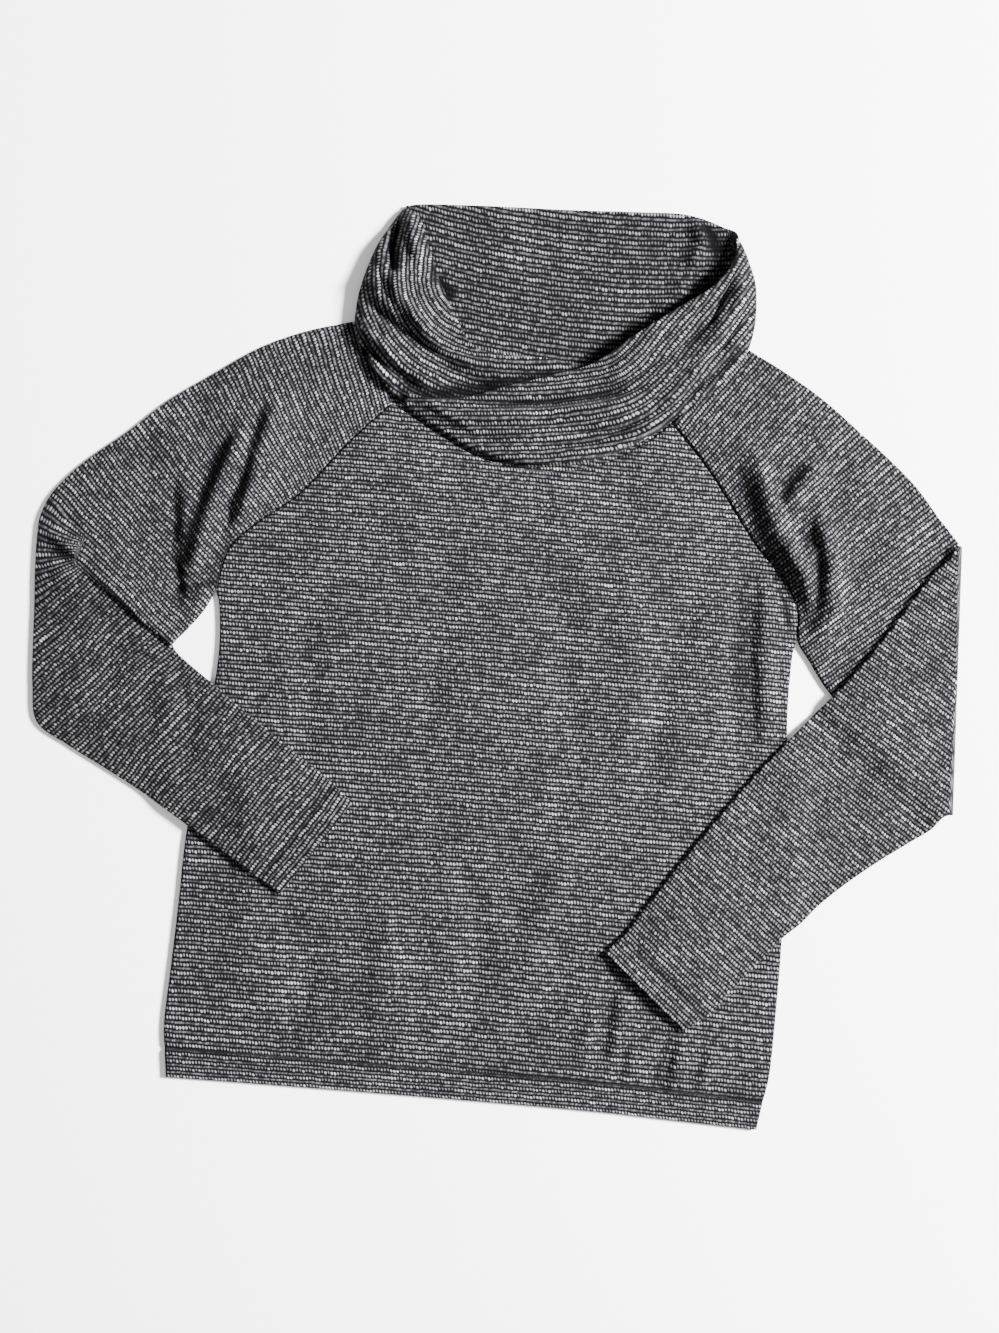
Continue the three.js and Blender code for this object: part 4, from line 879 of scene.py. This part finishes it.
def striped_knit():
    """Brushed cotton-blend jersey: rows of bright slubbed beads between dark grooves and fine grey rows.

    It is matt, with a faint bloom of short fibres at grazing angles, and darkened by painted shade where the mesh
    marks it: in folds, along stitch grooves, over the bent forearm and inside the neck.
    """
    material, tree = empty_material("striped_knit")

    def reckon(kind, a, b=0.0, c=0.0):
        """Output of one step of arithmetic."""
        return node(tree, "ShaderNodeMath", {"operation": kind}, i0=a, i1=b, i2=c).outputs[0]

    def bell(value, half):
        """One at zero, falling as a parabola to nothing at half on either side."""
        ratio = reckon("DIVIDE", value, half)
        return reckon("MAXIMUM", reckon("MULTIPLY_ADD", reckon("MULTIPLY", ratio, ratio), -1.0, 1.0), 0.0)

    def noise(vector, scale, detail=2.0, rough=0.5):
        """Soft noise about 0.5, with scale lumps a metre."""
        return node(tree, "ShaderNodeTexNoise", {"noise_dimensions": "3D"}, Vector=vector, Scale=scale,
                    Detail=detail, Roughness=rough).outputs["Fac"]

    place = node(tree, "ShaderNodeUVMap", {"uv_map": "knit"}).outputs["UV"]
    parts = node(tree, "ShaderNodeSeparateXYZ", i0=place)
    along, across = parts.outputs[0], parts.outputs[1]
    drift = reckon("MULTIPLY_ADD", noise(place, 26.0), 2 * ROW_DRIFT / 1000, -ROW_DRIFT / 1000)
    wobble = reckon("MULTIPLY_ADD", noise(place, 95.0), 2 * ROW_WOBBLE / 1000, -ROW_WOBBLE / 1000)
    row = reckon("DIVIDE", reckon("ADD", across, reckon("ADD", drift, wobble)), ROW_PITCH / 1000)
    bead = reckon("DIVIDE", along, BEAD_PITCH / 1000)
    row_number = reckon("FLOOR", row)
    in_row = reckon("SUBTRACT", reckon("FRACT", row), 0.5)
    shifted = reckon("MULTIPLY_ADD", row_number, ROW_START, reckon("MULTIPLY_ADD", in_row, BEAD_LEAN, bead))
    in_bead = reckon("SUBTRACT", reckon("FRACT", shifted), 0.5)
    cell = node(tree, "ShaderNodeCombineXYZ", X=reckon("FLOOR", shifted), Y=row_number).outputs[0]
    chance = node(tree, "ShaderNodeTexWhiteNoise", {"noise_dimensions": "2D"}, Vector=cell).outputs["Value"]
    # Beads are bright by chance, in streaks a few centimetres long and in patches
    streak_at = node(tree, "ShaderNodeCombineXYZ", X=reckon("MULTIPLY", along, 34.0),
                     Y=reckon("MULTIPLY", row_number, 3.7)).outputs[0]
    streak = noise(streak_at, 1.0, 1.0)
    patch = noise(place, 20.0, 3.0)
    jogged = reckon("MULTIPLY_ADD", chance, BEAD_JOG, reckon("SUBTRACT", in_row, BEAD_JOG / 2))
    beadlet = bell(in_bead, reckon("MULTIPLY_ADD", chance, BEAD_JOG, 0.5 - BEAD_JOG))
    loop = reckon("MAXIMUM", reckon("SUBTRACT", bell(jogged, BEAD_HALF), reckon("SUBTRACT", 1.0, beadlet)), 0.0)
    lit = reckon("MULTIPLY_ADD", chance, 0.4, reckon("MULTIPLY_ADD", streak, 0.6, -0.28))
    lit = reckon("MULTIPLY_ADD", patch, 0.6, lit)
    lit = node(tree, "ShaderNodeClamp", Value=lit).outputs[0]
    lit = reckon("MULTIPLY", reckon("POWER", BEAD_RANGE, lit), BEAD_DIM)
    bright = reckon("MULTIPLY", loop, lit)
    # The fine row half way between: short flecks, few of them bright
    in_fine = reckon("SUBTRACT", reckon("FRACT", reckon("ADD", row, 0.5)), 0.5)
    fleck_at = reckon("MULTIPLY", shifted, 1.7)
    fleck_cell = node(tree, "ShaderNodeCombineXYZ", X=reckon("FLOOR", fleck_at),
                      Y=reckon("FLOOR", reckon("ADD", row, 0.5)), Z=3.0).outputs[0]
    fleck = node(tree, "ShaderNodeTexWhiteNoise", {"noise_dimensions": "3D"}, Vector=fleck_cell).outputs["Value"]
    grain = noise(place, 900.0, 1.0, 0.6)
    flecked = reckon("MULTIPLY_ADD", reckon("MULTIPLY", fleck, fleck), 0.7, 0.13)
    fleck_shape = bell(reckon("SUBTRACT", reckon("FRACT", fleck_at), 0.5), 0.6)
    fine = reckon("MULTIPLY", reckon("MULTIPLY", bell(in_fine, FINE_HALF), fleck_shape), flecked)
    tint = node(tree, "ShaderNodeMix", {"data_type": "RGBA"}, Factor=patch, i6=colour("020203"), i7=colour("070609"))
    grey = node(tree, "ShaderNodeMix", {"data_type": "RGBA"}, Factor=fine, i6=tint.outputs[2], i7=colour("66646b"))
    shade = node(tree, "ShaderNodeMix", {"data_type": "RGBA"}, Factor=bright, i6=grey.outputs[2], i7=colour("f0eef2"))
    # Painted shade: the mesh's shade value multiplies the colour towards the dark grey 2c2b33
    shade_amount = node(tree, "ShaderNodeAttribute", {"attribute_name": "painted_shade"}).outputs["Fac"]
    shade = node(tree, "ShaderNodeMix", {"data_type": "RGBA", "blend_type": "MULTIPLY"}, Factor=shade_amount,
                 i6=shade.outputs[2], i7=colour("2c2b33"))
    relief_height = reckon("ADD", loop, reckon("MULTIPLY_ADD", fine, 0.4, reckon("MULTIPLY", grain, 0.3)))
    bump = node(tree, "ShaderNodeBump", Strength=0.7, Distance=0.0006, Height=relief_height)
    jersey = node(tree, "ShaderNodeBsdfPrincipled", Base_Color=shade.outputs[2], Roughness=0.92,
                  Sheen_Weight=0.02, Sheen_Roughness=0.5, Specular_IOR_Level=0.05, Normal=bump.outputs[0])
    node(tree, "ShaderNodeOutputMaterial", Surface=jersey.outputs[0])
    return material


def plain_surface(name, code):
    """Matt painted board, even in colour."""
    material, tree = empty_material(name)
    board = node(tree, "ShaderNodeBsdfPrincipled", Base_Color=colour(code), Roughness=0.9, Specular_IOR_Level=0.1)
    node(tree, "ShaderNodeOutputMaterial", Surface=board.outputs[0])
    return material


def studio():
    """Pale floor just under the cloth, a low lamp from the right, a faint one from the left, a bright surround."""
    half, low = FLOOR_HALF, -FLOOR_GAP
    mesh = bpy.data.meshes.new("floor")
    mesh.from_pydata([(-half, -half, low), (half, -half, low), (half, half, low), (-half, half, low)],
                     [], [(0, 1, 2, 3)])
    mesh.materials.append(plain_surface("pale_floor", "fbfbfb"))
    linked("floor", mesh)
    for name, at, size, power in LAMPS:
        light = bpy.data.lights.new(name, "AREA")
        light.size = size
        light.energy = power
        lamp = linked(name, light)
        lamp.location = at
        lamp.rotation_euler = (-Vector(at)).to_track_quat("-Z", "Y").to_euler()
    world = bpy.data.worlds.new("surround")
    world.use_nodes = True
    world.node_tree.nodes["Background"].inputs[0].default_value = colour("ffffff")
    world.node_tree.nodes["Background"].inputs[1].default_value = SURROUND
    bpy.context.scene.world = world


def camera():
    """Looks straight down on the middle of the picture, turned with the garment's lie."""
    lens = bpy.data.cameras.new("camera")
    lens.lens = LENS_MM
    lens.sensor_width = SENSOR_MM
    eye = linked("camera", lens)
    eye.location = EYE
    eye.rotation_euler = (0, 0, math.radians(LIE_ANGLE))
    bpy.context.scene.camera = eye


camera()
studio()
cloth = striped_knit()
# For each solid its knit piece, the size and area of its cut in metres, and what it rests on
made = {
    "back_body": (back_panel(), (0.55, 0.68), 0.33, ()),
    "front_body": (front_panel(), (0.55, 0.63), 0.305, ("back_knit",)),
    "sleeve_right": (right_sleeve(), (0.38, 0.68), 0.19, ("back_knit", "front_knit")),
    "sleeve_left": (left_sleeve(), (0.38, 0.68), 0.19, ("back_knit", "front_knit")),
    "collar": (collar_strip(420, 92), (0.86, 0.19), 0.12, ("back_knit", "front_knit")),
}
for solid, (knit, flat, area, under) in made.items():
    knit.data.materials.append(cloth)
    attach(knit, "root")
    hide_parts(solid)
